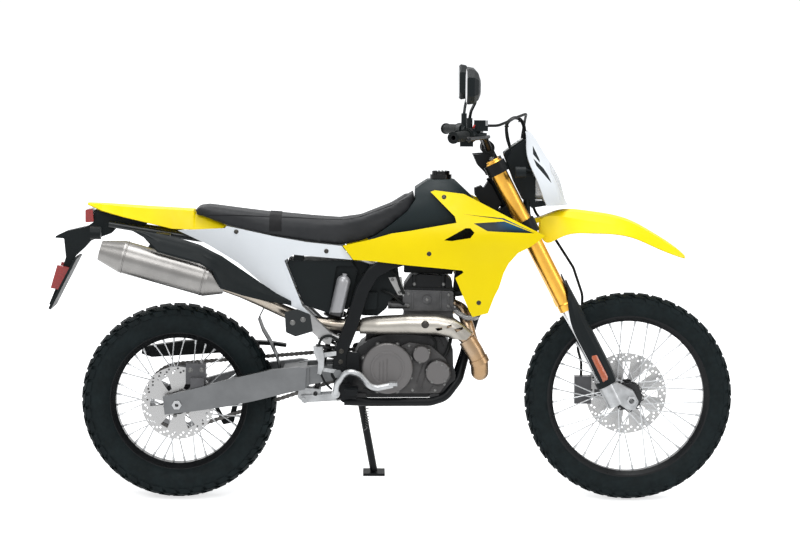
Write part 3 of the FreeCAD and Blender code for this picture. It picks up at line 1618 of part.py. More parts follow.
def engine_covers():
    """Clutch cover, oil and pump covers on the right, generator cover on the left."""
    half = mm("engine_half_width")
    gap = mm("seat_gap")
    depth = mm("cover_depth")
    right = []
    centre = (689, 450)
    places = (centre + (mm("clutch_radius"), depth), (800, 496, 31, depth - 6), (854, 436, 43, depth - 16))
    for x, z, radius, reach in places:
        right.append(cylinder_y(x, z, radius, -half - reach + 5, -half - gap))
        right.append(Part.makeCone(radius, radius - 5, 5, V(x, -half - reach + 5, z), V(0, -1, 0)))
    ring = mm("clutch_radius")
    for index in range(8):
        boss = V(centre[0], 0, centre[1]) + polar(ring, math.pi * (index + 0.5) / 4, 0)
        right.append(cylinder_y(boss.x, boss.z, 8, -half - 26, -half - gap))
    outline = [(690, 366), (860, 366), (898, 420), (880, 480), (830, 524), (760, 534), (690, 500)]
    right.append(rounded_prism(outline, 14, -half - 18, -half - gap))
    face = -half - depth
    right.append(cylinder_y(*centre, ring * 0.66, face - 2.5, face + 3))
    whole_right = fuse_all(right).cut(cylinder_y(*centre, ring * 0.58, face - 3, face))
    left = cylinder_y(800, 442, 72, half + gap, half + depth - 6)
    outline = [(566, 398), (640, 392), (704, 436), (704, 468), (650, 512), (574, 505)]
    sprocket_cover = rounded_prism(outline, 14, half + 12, half + 20)
    post = cylinder_y(688, 452, 12, half + gap, half + 14)
    whole_left = fuse_all([left, sprocket_cover, post])
    return shape_piece("engine_covers", Part.makeCompound([whole_right, whole_left]))


def radiators():
    """A radiator on each side of the down tube, with its louvres, and the hose to the head on the right."""
    solids = []
    foot = V(1012, 0, 648)
    slope = V(50, 0, 170)
    louvres = 9
    for side in (-1, 1):
        low, high = sorted((side * 46, side * 138))
        parts = [prism_y([(975, 655), (1012, 648), (1062, 818), (1025, 826)], low, high)]
        for index in range(louvres):
            start = foot + slope * ((index + 0.5) / louvres)
            slat = [(start.x + x, start.z + z) for x, z in ((-2, 0), (7, -7), (8, -4), (0, 4))]
            parts.append(prism_y(slat, low + 4, high - 4))
        low, high = sorted((side * 2, side * 60))
        parts.append(prism_y([(990, 690), (1012, 686), (1016, 706), (996, 710)], low, high))
        parts.append(prism_y([(1020, 778), (1042, 774), (1046, 794), (1026, 798)], low, high))
        parts.append(rod(bike(988, side * 120, 670), bike(988, side * 200, 670), 9))
        if side < 0:
            hose = ((896, -66, 655), (921, -78, 628), (946, -84, 613), (984, -84, 614), (996, -84, 662))
            parts.append(tube([bike(*place) for place in hose], 9, 16))
        space = skin_space(PANEL_ROWS, PANEL_HEIGHTS, side)
        tools = [down_tube(mm("seat_gap")), space, PIECES["cylinder_head"].Shape]
        solids.append(fuse_all(parts).cut(tools))
    return shape_piece("radiators", Part.makeCompound(solids))


# Exhaust


PIPE_PLACES = (
    (905, -6, 648),
    (936, -22, 636),
    (952, -52, 590),
    (964, -64, 545),
    (982, -66, 495),
    (990, -84, 448),
    (992, -120, 440),
    (990, -138, 474),
    (974, -142, 508),
    (948, -141, 548),
    (906, -135, 584),
    (850, -128, 595),
    (760, -118, 594),
    (660, -96, 586),
    (585, -68, 584),
    (500, -63, 588),
    (430, -62, 597),
    (345, -79, 632),
    (280, -122, 668),
    (215, -165, 702),
    (150, -190, 728),
)


def exhaust_line(grow=0.0, first=0, last=len(PIPE_PLACES)):
    return tube([bike(*place) for place in PIPE_PLACES[first:last]], mm("pipe_radius") + grow, 60)


def exhaust_pipe():
    """The header with its wide loop in front of the engine, and the pipe to the silencer."""
    flange = cylinder_x(905.3, -6, 648, 30, 8)
    port = Part.makeBox(200, 200, 200, bike(705.3, -100, 550))
    wide = exhaust_line(mm("header_radius") - mm("pipe_radius"), 6, 10)
    turn = Part.makeSphere(mm("header_radius"), bike(*PIPE_PLACES[6]))
    strap = ring_clip(7, 8, 0.1, 20, mm("header_radius") + 3, 0)
    return shape_piece("exhaust_pipe", fuse_all([exhaust_line(), wide, turn, flange, strap]).cut(port))


def cylinder_x(x, y, z, radius, length):
    return Part.makeCylinder(radius, length, bike(x, y, z), V(1, 0, 0))


def ring_clip(first, last, share, width, outer, inner):
    """A band around the exhaust between two of its places."""
    start = bike(*PIPE_PLACES[first])
    end = bike(*PIPE_PLACES[last])
    ahead = (end - start).normalize()
    middle = start + (end - start) * share
    band = rod(middle - ahead * width / 2, middle + ahead * width / 2, outer)
    return band.cut(rod(middle - ahead * width, middle + ahead * width, inner)) if inner else band


def header_shield():
    """A heat shield that follows the header outside, on two clips."""
    radius = mm("pipe_radius")
    gap = mm("seat_gap")
    reach = mm("shield_radius") - radius
    sheet = exhaust_line(reach, 9, 15).cut(exhaust_line(reach - mm("panel_thickness"), 9, 15))
    outline = [(604, 625), (597, 560), (762, 562), (858, 562), (903, 550), (946, 550), (967, 561), (968, 572)]
    outline += [(900, 622), (818, 630), (762, 630)]
    keep = prism_y(outline, -220, -mm("engine_half_width") - 3)
    clips = []
    for first in (10, 12):
        clips.append(ring_clip(first, first + 1, 0.5, 14, mm("shield_radius") - 2, radius + gap))
    slots = []
    for slot in (
        [(843, 585), (897, 599), (897, 591), (852, 577)],
        [(905, 584), (933, 592), (935, 585), (912, 574)],
    ):
        slots.append(prism_y(slot, -220, -120))
    return shape_piece("header_shield", fuse_all([sheet.common(keep).cut(slots)] + clips))


def silencer_line():
    return bike(160, -mm("silencer_offset"), 725), bike(-172, -mm("silencer_offset"), 790 + 27)


def silencer_body(grow=0.0):
    """The can with its front cone and its tapered end cap."""
    low, high = silencer_line()
    up = (high - low).normalize()
    radius = mm("silencer_radius") + grow
    solids = [rod(low + up * 60, high, radius)]
    solids.append(Part.makeCone(mm("pipe_radius") + 8 + grow, radius, 60, low, up))
    solids.append(Part.makeCone(radius, 32 + grow, 74, high, up))
    return fuse_all(solids)


def silencer():
    low, high = silencer_line()
    up = (high - low).normalize()
    outlet = rod(high + up * 20, high + up * 80, 21)
    return shape_piece("silencer", silencer_body().cut([outlet, exhaust_line(mm("seat_gap"))]))


def silencer_shield():
    """A black shield over the outside of the silencer, drawn on as a plate over its inlet pipe."""
    low, high = silencer_line()
    up = (high - low).normalize()
    start = low - up * 60
    outer = rod(start, high, mm("silencer_radius") + 8)
    sheet = outer.cut(rod(start - up, high + up, mm("silencer_radius") + 4.5))
    outline = [(-134, 906), (-46, 883), (50, 852), (187, 788), (372, 681), (373, 651), (324, 651), (260, 683)]
    outline += [(139, 723), (123, 750), (83, 795), (-46, 819), (-86, 846), (-120, 878)]
    keep = prism_y(outline, -300, -mm("silencer_offset") + 12)
    plan = [(385, -106), (190, -236), (100, -246), (100, -250), (190, -240.5), (385, -110.5)]
    points = [bike(x, y, 600) for x, y in plan]
    plate = Part.Face(Part.makePolygon(points + points[:1])).extrude(V(0, 0, 300))
    lugs = []
    for reach in (110, 250):
        lugs.append(rod(low + up * reach + V(0, -10, 40), low + up * reach + V(0, -14, 58), 7))
    tool = silencer_body(mm("seat_gap"))
    shapes = [sheet.common(keep), plate.common(prism_y(outline, -300, -100))] + lugs
    return shape_piece("silencer_shield", fuse_all(shapes).cut(tool))


# Tank, seat and body panels

SEAT_BASE = (
    (60, 947),
    (80, 945),
    (160, 915),
    (200, 905),
    (320, 880),
    (430, 862),
    (540, 852),
    (600, 866),
    (650, 884),
    (700, 920),
    (750, 962),
    (776, 1000),
)
SEAT_TOP = (
    (770, 1030),
    (740, 1010),
    (700, 985),
    (650, 965),
    (600, 945),
    (530, 935),
    (450, 940),
    (340, 950),
    (300, 952),
    (100, 975),
    (70, 978),
    (55, 966),
)


def seat():
    """The seat, crowned across and narrower towards the tank."""
    sections = []
    for y, drop in ((-104, 0.62), (-94, 0.28), (-76, 0.1), (0, 0.0), (76, 0.1), (94, 0.28), (104, 0.62)):
        ring = [bike(x, y, z) for x, z in SEAT_BASE]
        for x, z in SEAT_TOP:
            base = base_height(x)
            ring.append(bike(x, y, z - (z - base) * drop))
        sections.append(ring)
    block = loft(sections, True)
    plan = [(50, 74), (90, 92), (300, 103), (450, 99), (600, 80), (700, 74), (790, 66)]
    points = [bike(x, y, 800) for x, y in plan] + [bike(x, -y, 800) for x, y in plan[::-1]]
    keep = Part.Face(rounded_wire(points, 40, True)).extrude(V(0, 0, 300))
    return shape_piece("seat", block.common(keep))


def base_height(x):
    for (x1, z1), (x2, z2) in zip(SEAT_BASE, SEAT_BASE[1:]):
        if x <= x2:
            return z1 + (z2 - z1) * max(x - x1, 0) / (x2 - x1)
    return SEAT_BASE[-1][1]


def spline_ring(points, base_points):
    """A closed ring: a smooth curve through the first points and straight lines through the others."""
    curve = Part.BSplineCurve()
    curve.interpolate(points)
    corners = [points[-1]] + base_points + [points[0]]
    edges = [curve.toShape()]
    for start, end in zip(corners, corners[1:]):
        edges.append(Part.LineSegment(start, end).toShape())
    return Part.Wire(edges)


TANK_STATIONS = (
    # x, half width at the base, half width at the shoulder, height of the shoulder, height of the top
    (590, 70, 74, 880, 905),
    (660, 78, 86, 940, 975),
    (740, 88, 104, 1000, 1040),
    (810, 92, 112, 1020, 1072),
    (870, 92, 112, 1016, 1078),
    (930, 86, 104, 990, 1050),
    (980, 74, 88, 965, 1010),
    (1015, 60, 70, 950, 975),
)


def fuel_tank():
    """The fuel tank, crowned across, sitting on the spars ahead of the seat."""
    rings = []
    for x, base, shoulder, high, top in TANK_STATIONS:
        curve = [(-base, 800), (-shoulder, (800 + high) / 2 + 20), (-shoulder * 0.86, high), (0, top)]
        curve = curve + [(-y, z) for y, z in curve[-2::-1]]
        rings.append(spline_ring([bike(x, y, z) for y, z in curve], []))
    block = Part.makeLoft(rings, True, False)
    profile = [(x, z - 2 * mm("seat_gap")) for x, z in SEAT_BASE if x > 600]
    profile = [(622, 870)] + profile + [(777, 1001), (777, 1036), (800, 1052), (818, 1064), (905, 1066)]
    profile += [(960, 1014), (1000, 965), (985, 925), (930, 880), (850, 850), (700, 815), (640, 826)]
    keep = prism_y(profile, -200, 200)
    gap = mm("seat_gap")
    tools = [spar(side, gap) for side in (-1, 1)]
    solid = block.common(keep)
    bosses = []
    for side in (-1, 1):
        tools.append(skin_space(PANEL_ROWS, PANEL_HEIGHTS, side))
        bosses.append(rod(bike(870, side * 80, 1000), bike(870, side * 160, 1000), 9))
        bosses.append(rod(bike(760, side * 70, 872), bike(760, side * 170, 872), 9))
    return shape_piece("fuel_tank", fuse_all([solid] + bosses).cut(tools))


def fuel_cap():
    base = bike(862, 0, 1066 + mm("seat_gap"))
    ring = Part.makeCylinder(36, 14, base)
    knob = Part.makeCylinder(27, 12, base + V(0, 0, 12))
    return shape_piece("fuel_cap", fuse_all([ring, knob]))


PANEL_ROWS = (
    # x, then half widths at the six heights
    (540, (104, 110, 113, 113, 104, 88)),
    (590, (110, 119, 126, 124, 108, 89)),
    (660, (118, 129, 138, 134, 114, 91)),
    (780, (126, 137, 144, 141, 121, 96)),
    (900, (136, 147, 155, 156, 134, 102)),
    (1000, (146, 160, 172, 182, 152, 112)),
    (1100, (150, 166, 176, 190, 166, 122)),
    (1200, (152, 166, 172, 188, 172, 128)),
)
PANEL_HEIGHTS = (600, 710, 820, 900, 970, 1060)

SHROUD_OUTLINE = (
    (540, 850),
    (640, 875),
    (700, 893),
    (760, 902),
    (910, 930),
    (905, 950),
    (826, 1028),
    (840, 1033),
    (935, 1022),
    (960, 1010),
    (1195, 893),
    (1190, 885),
    (1150, 855),
    (1110, 835),
    (1080, 800),
    (1065, 770),
    (1050, 720),
    (1035, 690),
    (1015, 635),
    (965, 622),
    (955, 640),
    (908, 750),
    (934, 768),
    (930, 775),
    (750, 790),
    (640, 802),
    (575, 805),
)
SHROUD_VENT = ((870, 873), (895, 871), (955, 882), (968, 900), (955, 914), (940, 914))


def skin(rows, heights, side, thickness):
    """A curved sheet through half widths at stations along x, its thickness inwards."""
    rings = []
    for x, halves in rows:
        outer = [bike(x, side * half, z) for half, z in zip(halves, heights)]
        inner = [bike(x, side * (half - thickness), z) for half, z in zip(halves, heights)]
        outer_curve = Part.BSplineCurve()
        outer_curve.interpolate(outer)
        inner_curve = Part.BSplineCurve()
        inner_curve.interpolate(inner[::-1])
        edges = [outer_curve.toShape(), Part.LineSegment(outer[-1], inner[-1]).toShape()]
        edges += [inner_curve.toShape(), Part.LineSegment(inner[0], outer[0]).toShape()]
        rings.append(Part.Wire(edges))
    return Part.makeLoft(rings, True, False)


def skin_space(rows, heights, side):
    """The space that a skin takes up and all that lies outside it, as a tool for the bosses that carry it."""
    reach = 80
    wider = [(x, [half + reach for half in halves]) for x, halves in rows]
    return skin(wider, heights, side, reach + mm("panel_thickness") + mm("seat_gap"))


def shrouds():
    """The yellow side shrouds with their air vents."""
    outline = prism_y(SHROUD_OUTLINE, -260, 260)
    vent = prism_y(SHROUD_VENT, -260, 260)
    solids = []
    for side in (-1, 1):
        sheet = skin(PANEL_ROWS, PANEL_HEIGHTS, side, mm("panel_thickness"))
        solids.append(sheet.common(outline).cut(vent))
    return shape_piece("shrouds", Part.makeCompound(solids))


SIDE_ROWS = (
    (-20, (78, 84, 88, 90, 88)),
    (100, (86, 94, 98, 97, 93)),
    (230, (96, 102, 104, 101, 94)),
    (350, (106, 111, 112, 108, 100)),
    (450, (108, 112, 113, 109, 100)),
    (600, (108, 111, 113, 108, 100)),
)
SIDE_HEIGHTS = (600, 700, 800, 880, 940)

SIDE_OUTLINE = (
    (0, 896),
    (155, 904),
    (160, 911),
    (200, 903),
    (320, 878),
    (430, 860),
    (537, 849),
    (573, 804),
    (380, 820),
    (350, 800),
    (410, 650),
    (435, 625),
    (420, 630),
    (360, 655),
    (300, 705),
    (200, 790),
    (100, 850),
)


def side_panels():
    outline = prism_y(SIDE_OUTLINE, -260, 260)
    solids = []
    for side in (-1, 1):
        solids.append(skin(SIDE_ROWS, SIDE_HEIGHTS, side, mm("panel_thickness")).common(outline))
    return shape_piece("side_panels", Part.makeCompound(solids))


def airbox():
    """The airbox behind the side panels, its duct to the throttle body, and the mudguard behind it."""
    half = 86
    outline = [(356, 798), (566, 800), (590, 768), (560, 640), (500, 624), (414, 652)]
    box = rounded_prism(outline, 8, -half, half)
    outline = [(560, 796), (720, 788), (730, 716), (700, 668), (684, 640), (656, 616), (606, 616), (560, 660)]
    duct = rounded_prism(outline, 8, -60, 60)
    cover = rounded_prism([(612, 694), (656, 694), (652, 638), (612, 636)], 6, -74, -50)
    low = shock_low()
    slot = rod(low, shock_high() + (shock_high() - low) * 0.4, 50)
    recess = rounded_prism([(494, 610), (520, 782), (590, 782), (560, 610)], 8, -half - 1, -half + 14)
    guard = [(332, 430), (322, 474), (300, 522), (276, 562), (262, 602), (286, 650), (352, 690), (404, 700)]
    ring = ribbon(guard[::-1], 3.0)
    points = [bike(x, -62, z) for x, z in ring]
    sheet = Part.Face(Part.makePolygon(points + points[:1])).extrude(V(0, 124, 0))
    ear = [(380, 790), (410, 790), (410, 834), (380, 834)]
    lugs = [prism_y(ear, side * 76 - 6, side * 76 + 6) for side in (-1, 1)]
    for z in (650, 715):
        lugs.append(box_at(bike(528, -78, z), 20, 16, 18))
    whole = fuse_all([fuse_all([box, duct, cover]).cut([slot, recess]), sheet] + lugs)
    gap = mm("seat_gap")
    tools = [PIECES[name].Shape for name in ("cylinder_head", "fuel_tank", "main_frame")]
    tools += [subframe_rail(side, gap) for side in (-1, 1)]
    tools += [subframe_stay(side, gap) for side in (-1, 1)]
    tools.append(rod(bike(640, -200, 775), bike(640, 200, 775), 15 + gap))
    tools += [shock_cross_tube(gap), exhaust_line(3), shock_tank(gap)]
    return shape_piece("airbox", whole.cut(tools))


REAR_FENDER_STATIONS = (
    # x, height of the middle, half width and height of the shoulder, half width and height of the edge;
    # under the seat the heights of the middle and the shoulder are counted from the seat's base
    (-300, 980, 22, 979, 30, 977),
    (-250, 979, 40, 976, 60, 957),
    (-180, 975, 54, 970, 76, 938),
    (-100, 970, 58, 965, 82, 920),
    (-20, 966, 58, 962, 80, 900),
    (50, 962, 60, 958, 81, 898),
    (56, 0, 60, -1, 81, 898),
    (80, 0, 62, -1, 82, 898),
    (150, 0, 64, -2, 84, 895),
)


def rear_fender():
    rings = []
    for x, top, shoulder, high, edge, low in REAR_FENDER_STATIONS:
        if x > SEAT_BASE[0][0] - 5:
            top += base_height(x) - mm("seat_gap")
            high += base_height(x) - mm("seat_gap")
        half = [(-edge, low), (-shoulder, high)]
        outer = half + [(0, top)] + [(-y, z) for y, z in half[::-1]]
        rings.append([bike(x, y, z) for y, z in ribbon(outer[::-1], mm("fender_thickness"))])
    return shape_piece("rear_fender", loft(rings, True))


def plate_hole(side, along=0.0):
    """A point on the axis of one of the two bolt holes for a number plate."""
    outward = V(-0.867, 0, 0.498)
    return bike(-352, side * mm("plate_hole_spacing") / 2, 771) + outward * along


def tail_bracket():
    """The black bracket behind the fender that carries the lights and the bare plate carrier."""
    outline = [(-278, 958), (-230, 944), (-100, 914), (-120, 904), (-196, 908), (-222, 880), (-290, 855)]
    outline += [(-312, 830), (-345, 800), (-420, 640), (-428, 644), (-405, 700), (-372, 800), (-378, 862)]
    outline += [(-408, 864), (-404, 870), (-370, 886), (-302, 902), (-282, 916)]
    block = rounded_prism(outline, 3, -30, 30)
    plate = prism_y([(-330, 800), (-338, 803), (-424, 636), (-416, 632)], -88, 88)
    whole = fuse_all([block, plate])
    gap = mm("seat_gap")
    tools = [subframe_rail(side, gap) for side in (-1, 1)]
    for side in (-1, 1):
        tools.append(rod(plate_hole(side, -30), plate_hole(side, 30), mm("plate_hole_radius")))
    tools.append(rod(bike(-150, -60, 900), bike(-150, 60, 900), 9 + gap))
    fender = PIECES["rear_fender"].Shape
    return shape_piece("tail_bracket", whole.cut(tools).cut(fender))


def rear_lights():
    """The tail light, and a red reflector on each side of the plate carrier."""
    lamp = rounded_prism([(-306, 916), (-306, 958), (-282, 962), (-279, 918)], 4, -44, 44)
    solids = [lamp.cut([PIECES["rear_fender"].Shape, PIECES["tail_bracket"].Shape])]
    for side in (-1, 1):
        outline = [(-396, 777), (-357, 769), (-382, 694), (-418, 702)]
        reflector = prism_y(outline, side * 61 - 9, side * 61 + 9)
        behind = reflector.cut(PIECES["tail_bracket"].Shape)
        solids.append(max(behind.Solids, key=lambda solid: solid.Volume))
    return shape_piece("rear_lights", Part.makeCompound(solids))


def rear_indicators():
    solids = []
    for side in (-1, 1):
        stem = rod(bike(-262, side * 30.3, 884), bike(-262, side * 78, 886), 7)
        lamp = Part.makeCylinder(21, 34, bike(-284, side * 96, 886), V(1, 0, 0))
        reach = rod(bike(-262, side * 70, 886), bike(-262, side * 96, 886), 7)
        solids.append(fuse_all([stem, reach, lamp]))
    return shape_piece("rear_indicators", Part.makeCompound(solids))


# Foot controls and side stand


def footpegs():
    """Serrated footpegs on plates at the foot of the spars."""
    outer = mm("spar_half_track") + mm("spar_width") / 2
    reach = mm("peg_reach")
    solids = []
    for side in (-1, 1):
        low, high = sorted((side * (outer + mm("seat_gap")), side * (outer + 9)))
        plate = prism_y([(528, 398), (566, 398), (590, 352), (540, 345)], low, high)
        low, high = sorted((side * (outer + 5), side * reach))
        bar = prism_y([(550, 392), (594, 392), (588, 372), (556, 372)], low, high)
        solids.append(fuse_all([plate, bar]))
    return shape_piece("footpegs", Part.makeCompound(solids))


def foot_controls():
    """The brake pedal on the right and the shift lever on the left."""
    outer = mm("spar_half_track") + mm("spar_width") / 2 + mm("seat_gap")
    pivot = bike(520, -outer - 11, 366)
    y = -outer - 52
    arm = [pivot, bike(524, -outer - 20, 400)]
    arm += [bike(x, y, z) for x, z in ((560, 448), (600, 434), (640, 388), (706, 402))]
    pedal = tube(arm, 10, 40)
    pad = box_at(bike(708, y - 4, 406), 26, 40, 10)
    boss = rod(bike(520, -outer, 366), bike(520, -outer - 18, 366), 14)
    left = mm("engine_half_width")
    shift = [bike(600, left + 30, 412), bike(640, left + 46, 424), bike(708, left + 52, 412)]
    lever = [tube(shift, 6.5, 30), rod(bike(708, left + 40, 412), bike(708, left + 78, 412), 8)]
    boss_left = rod(bike(600, left + 20.3, 412), bike(600, left + 38, 412), 12)
    solids = [fuse_all([pedal, pad, boss]), fuse_all(lever + [boss_left])]
    return shape_piece("foot_controls", Part.makeCompound(solids))


def stand_pivot():
    return bike(600, mm("stand_pivot_y"), 312)


def floor_height(y):
    """The height of the floor at y in the upright frame, when the machine leans on its stand."""
    lean = math.radians(mm("lean"))
    edge = mm("rear_lug_half")
    low = tyre_crown("rear", edge) * math.cos(lean) + edge * math.sin(lean)
    return (y * math.sin(lean) + REAR_AXLE.z * math.cos(lean) - low) / math.cos(lean)


def stand_foot():
    y = mm("stand_reach")
    return bike(648, y, floor_height(y))


def stand_folded():
    return V(-0.99, 0.12, -0.02).normalize()


def stand_axis():
    down = (stand_foot() - stand_pivot()).normalize()
    return down.cross(stand_folded()).normalize()


def side_stand():
    """The side stand, deployed: an eye on its pin, a leg and a flat foot that lies on the floor."""
    pivot = stand_pivot()
    axis = stand_axis()
    foot = stand_foot()
    lean = FreeCAD.Rotation(V(1, 0, 0), mm("lean"))
    floor_up = lean.multVec(V(0, 0, 1))
    eye_base = pivot + axis * 0.3
    eye = rod(eye_base, pivot + axis * 13, 15)
    leg_top = pivot + axis * 6.5
    leg_low = foot + floor_up * 10
    leg = rod(leg_top, leg_low, mm("stand_radius"))
    pad = Part.makeBox(74, 56, 9, V(-37, -28, 0))
    pad.Placement = FreeCAD.Placement(foot, lean)
    below = Part.makeBox(300, 300, 60, V(-150, -150, -60))
    below.Placement = FreeCAD.Placement(foot, lean)
    whole = fuse_all([eye, leg, pad]).cut(below)
    hole = rod(pivot - axis * 30, pivot + axis * 30, 6 + mm("running_gap"))
    return shape_piece("side_stand", whole.cut(hole))


# Assembly


def chassis_pieces():
    main_frame()
    subframe()
    swing_arm()
    shock_piece()
    linkage()
    chain()
    chain_guards()
    rear_caliper()
    crankcase()
    cylinder_head()
    cam_cover()
    engine_covers()
    radiators()
    exhaust_pipe()
    header_shield()
    silencer()
    silencer_shield()
    fuel_tank()
    fuel_cap()
    seat()
    shrouds()
    side_panels()
    airbox()
    rear_fender()
    tail_bracket()
    rear_lights()
    rear_indicators()
    footpegs()
    foot_controls()
    side_stand()


def rest_placement():
    """Leans the machine onto its stand, and puts the origin at the middle of its box, on the floor."""
    turn = FreeCAD.Placement(V(0, 0, 0), FreeCAD.Rotation(V(1, 0, 0), -mm("lean")))
    box = FreeCAD.BoundBox()
    for item in PIECES.values():
        moved = item.Shape.copy()
        moved.Placement = turn.multiply(moved.Placement)
        box.add(moved.optimalBoundingBox(False, False))
    shift = FreeCAD.Placement(V(-box.Center.x, -box.Center.y, -box.ZMin), FreeCAD.Rotation())
    return shift.multiply(turn)


def main():
    wheels()
    steered_pieces()
    chassis_pieces()
    DOC.recompute()
    place = rest_placement()
    for item in PIECES.values():
        item.Placement = place.multiply(item.Placement)
    DOC.recompute()
    for item in DOC.Objects:
        if "Invalid" in item.State or "Error" in item.State:
            raise RuntimeError("%s is %s" % (item.Label, item.State))
    os.makedirs("parts", exist_ok=True)
    faulty = [name for name, item in PIECES.items() if item.Shape.isNull() or not item.Shape.isValid()]
    if faulty:
        raise RuntimeError("no valid shape: " + ", ".join(faulty))
    for name, item in PIECES.items():
        item.Shape.exportStep("parts/%s.step" % name)
    print("rest placement", place)
    print(len(PIECES), "pieces")


main()
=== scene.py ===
import json
import math

import bmesh
import bpy
from mathutils import Matrix, Vector
from mathutils.bvhtree import BVHTree

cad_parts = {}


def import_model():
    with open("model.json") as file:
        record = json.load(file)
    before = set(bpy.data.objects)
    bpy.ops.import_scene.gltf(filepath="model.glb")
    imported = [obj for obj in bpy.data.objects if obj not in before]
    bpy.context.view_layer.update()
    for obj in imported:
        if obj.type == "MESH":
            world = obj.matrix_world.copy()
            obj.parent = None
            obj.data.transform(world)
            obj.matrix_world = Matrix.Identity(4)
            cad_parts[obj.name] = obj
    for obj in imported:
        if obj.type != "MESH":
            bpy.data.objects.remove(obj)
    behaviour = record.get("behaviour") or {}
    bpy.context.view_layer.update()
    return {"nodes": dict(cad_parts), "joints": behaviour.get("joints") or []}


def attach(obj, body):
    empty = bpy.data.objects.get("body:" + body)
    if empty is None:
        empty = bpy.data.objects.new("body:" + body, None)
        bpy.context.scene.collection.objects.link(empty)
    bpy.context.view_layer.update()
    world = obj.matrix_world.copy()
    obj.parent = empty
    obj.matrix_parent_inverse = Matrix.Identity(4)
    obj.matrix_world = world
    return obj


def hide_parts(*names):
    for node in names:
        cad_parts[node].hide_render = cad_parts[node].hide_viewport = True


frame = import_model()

# Frame of the upright machine: x forward from the rear axle, y to the left, z up from the floor, in metres


def joint_place(name):
    """Where the record puts a joint, at rest."""
    return Vector(next(joint["pos_m"] for joint in frame["joints"] if joint["name"] == name))


MM = 0.001
LEAN = math.radians(10)
REAR_AXLE = Vector((0, 0, 325)) * MM
FRONT_AXLE = Vector((1490, 0, 347)) * MM
SHIFT = joint_place("rear_wheel_spin") - Matrix.Rotation(-LEAN, 3, "X") @ REAR_AXLE
PLACE = Matrix.Translation(SHIFT) @ Matrix.Rotation(-LEAN, 4, "X")
UNPLACE = PLACE.inverted()
RAKE = math.radians(27.5)
STEER_UP = Vector((-math.sin(RAKE), 0, math.cos(RAKE)))
STEER_AHEAD = Vector((math.cos(RAKE), 0, math.sin(RAKE)))
AXLE_AHEAD = 0.0635

RIGHT, LEFT, BOTH = (-1,), (1,), (-1, 1)

# Middles of the round parts of the right engine cover, x and z in millimetres
CLUTCH, LOW_CAP, HIGH_CAP = (689, 450), (854, 436), (800, 496)


def at(x, y, z):
    """A point of the upright machine, given in millimetres."""
    return Vector((x, y, z)) * MM


def steer(ahead, left, up):
    """A point in the frame of the steering axis, in millimetres, up from the front axle's level."""
    base = FRONT_AXLE - STEER_AHEAD * AXLE_AHEAD
    return base + STEER_AHEAD * ahead * MM + Vector((0, left, 0)) * MM + STEER_UP * up * MM


# Materials


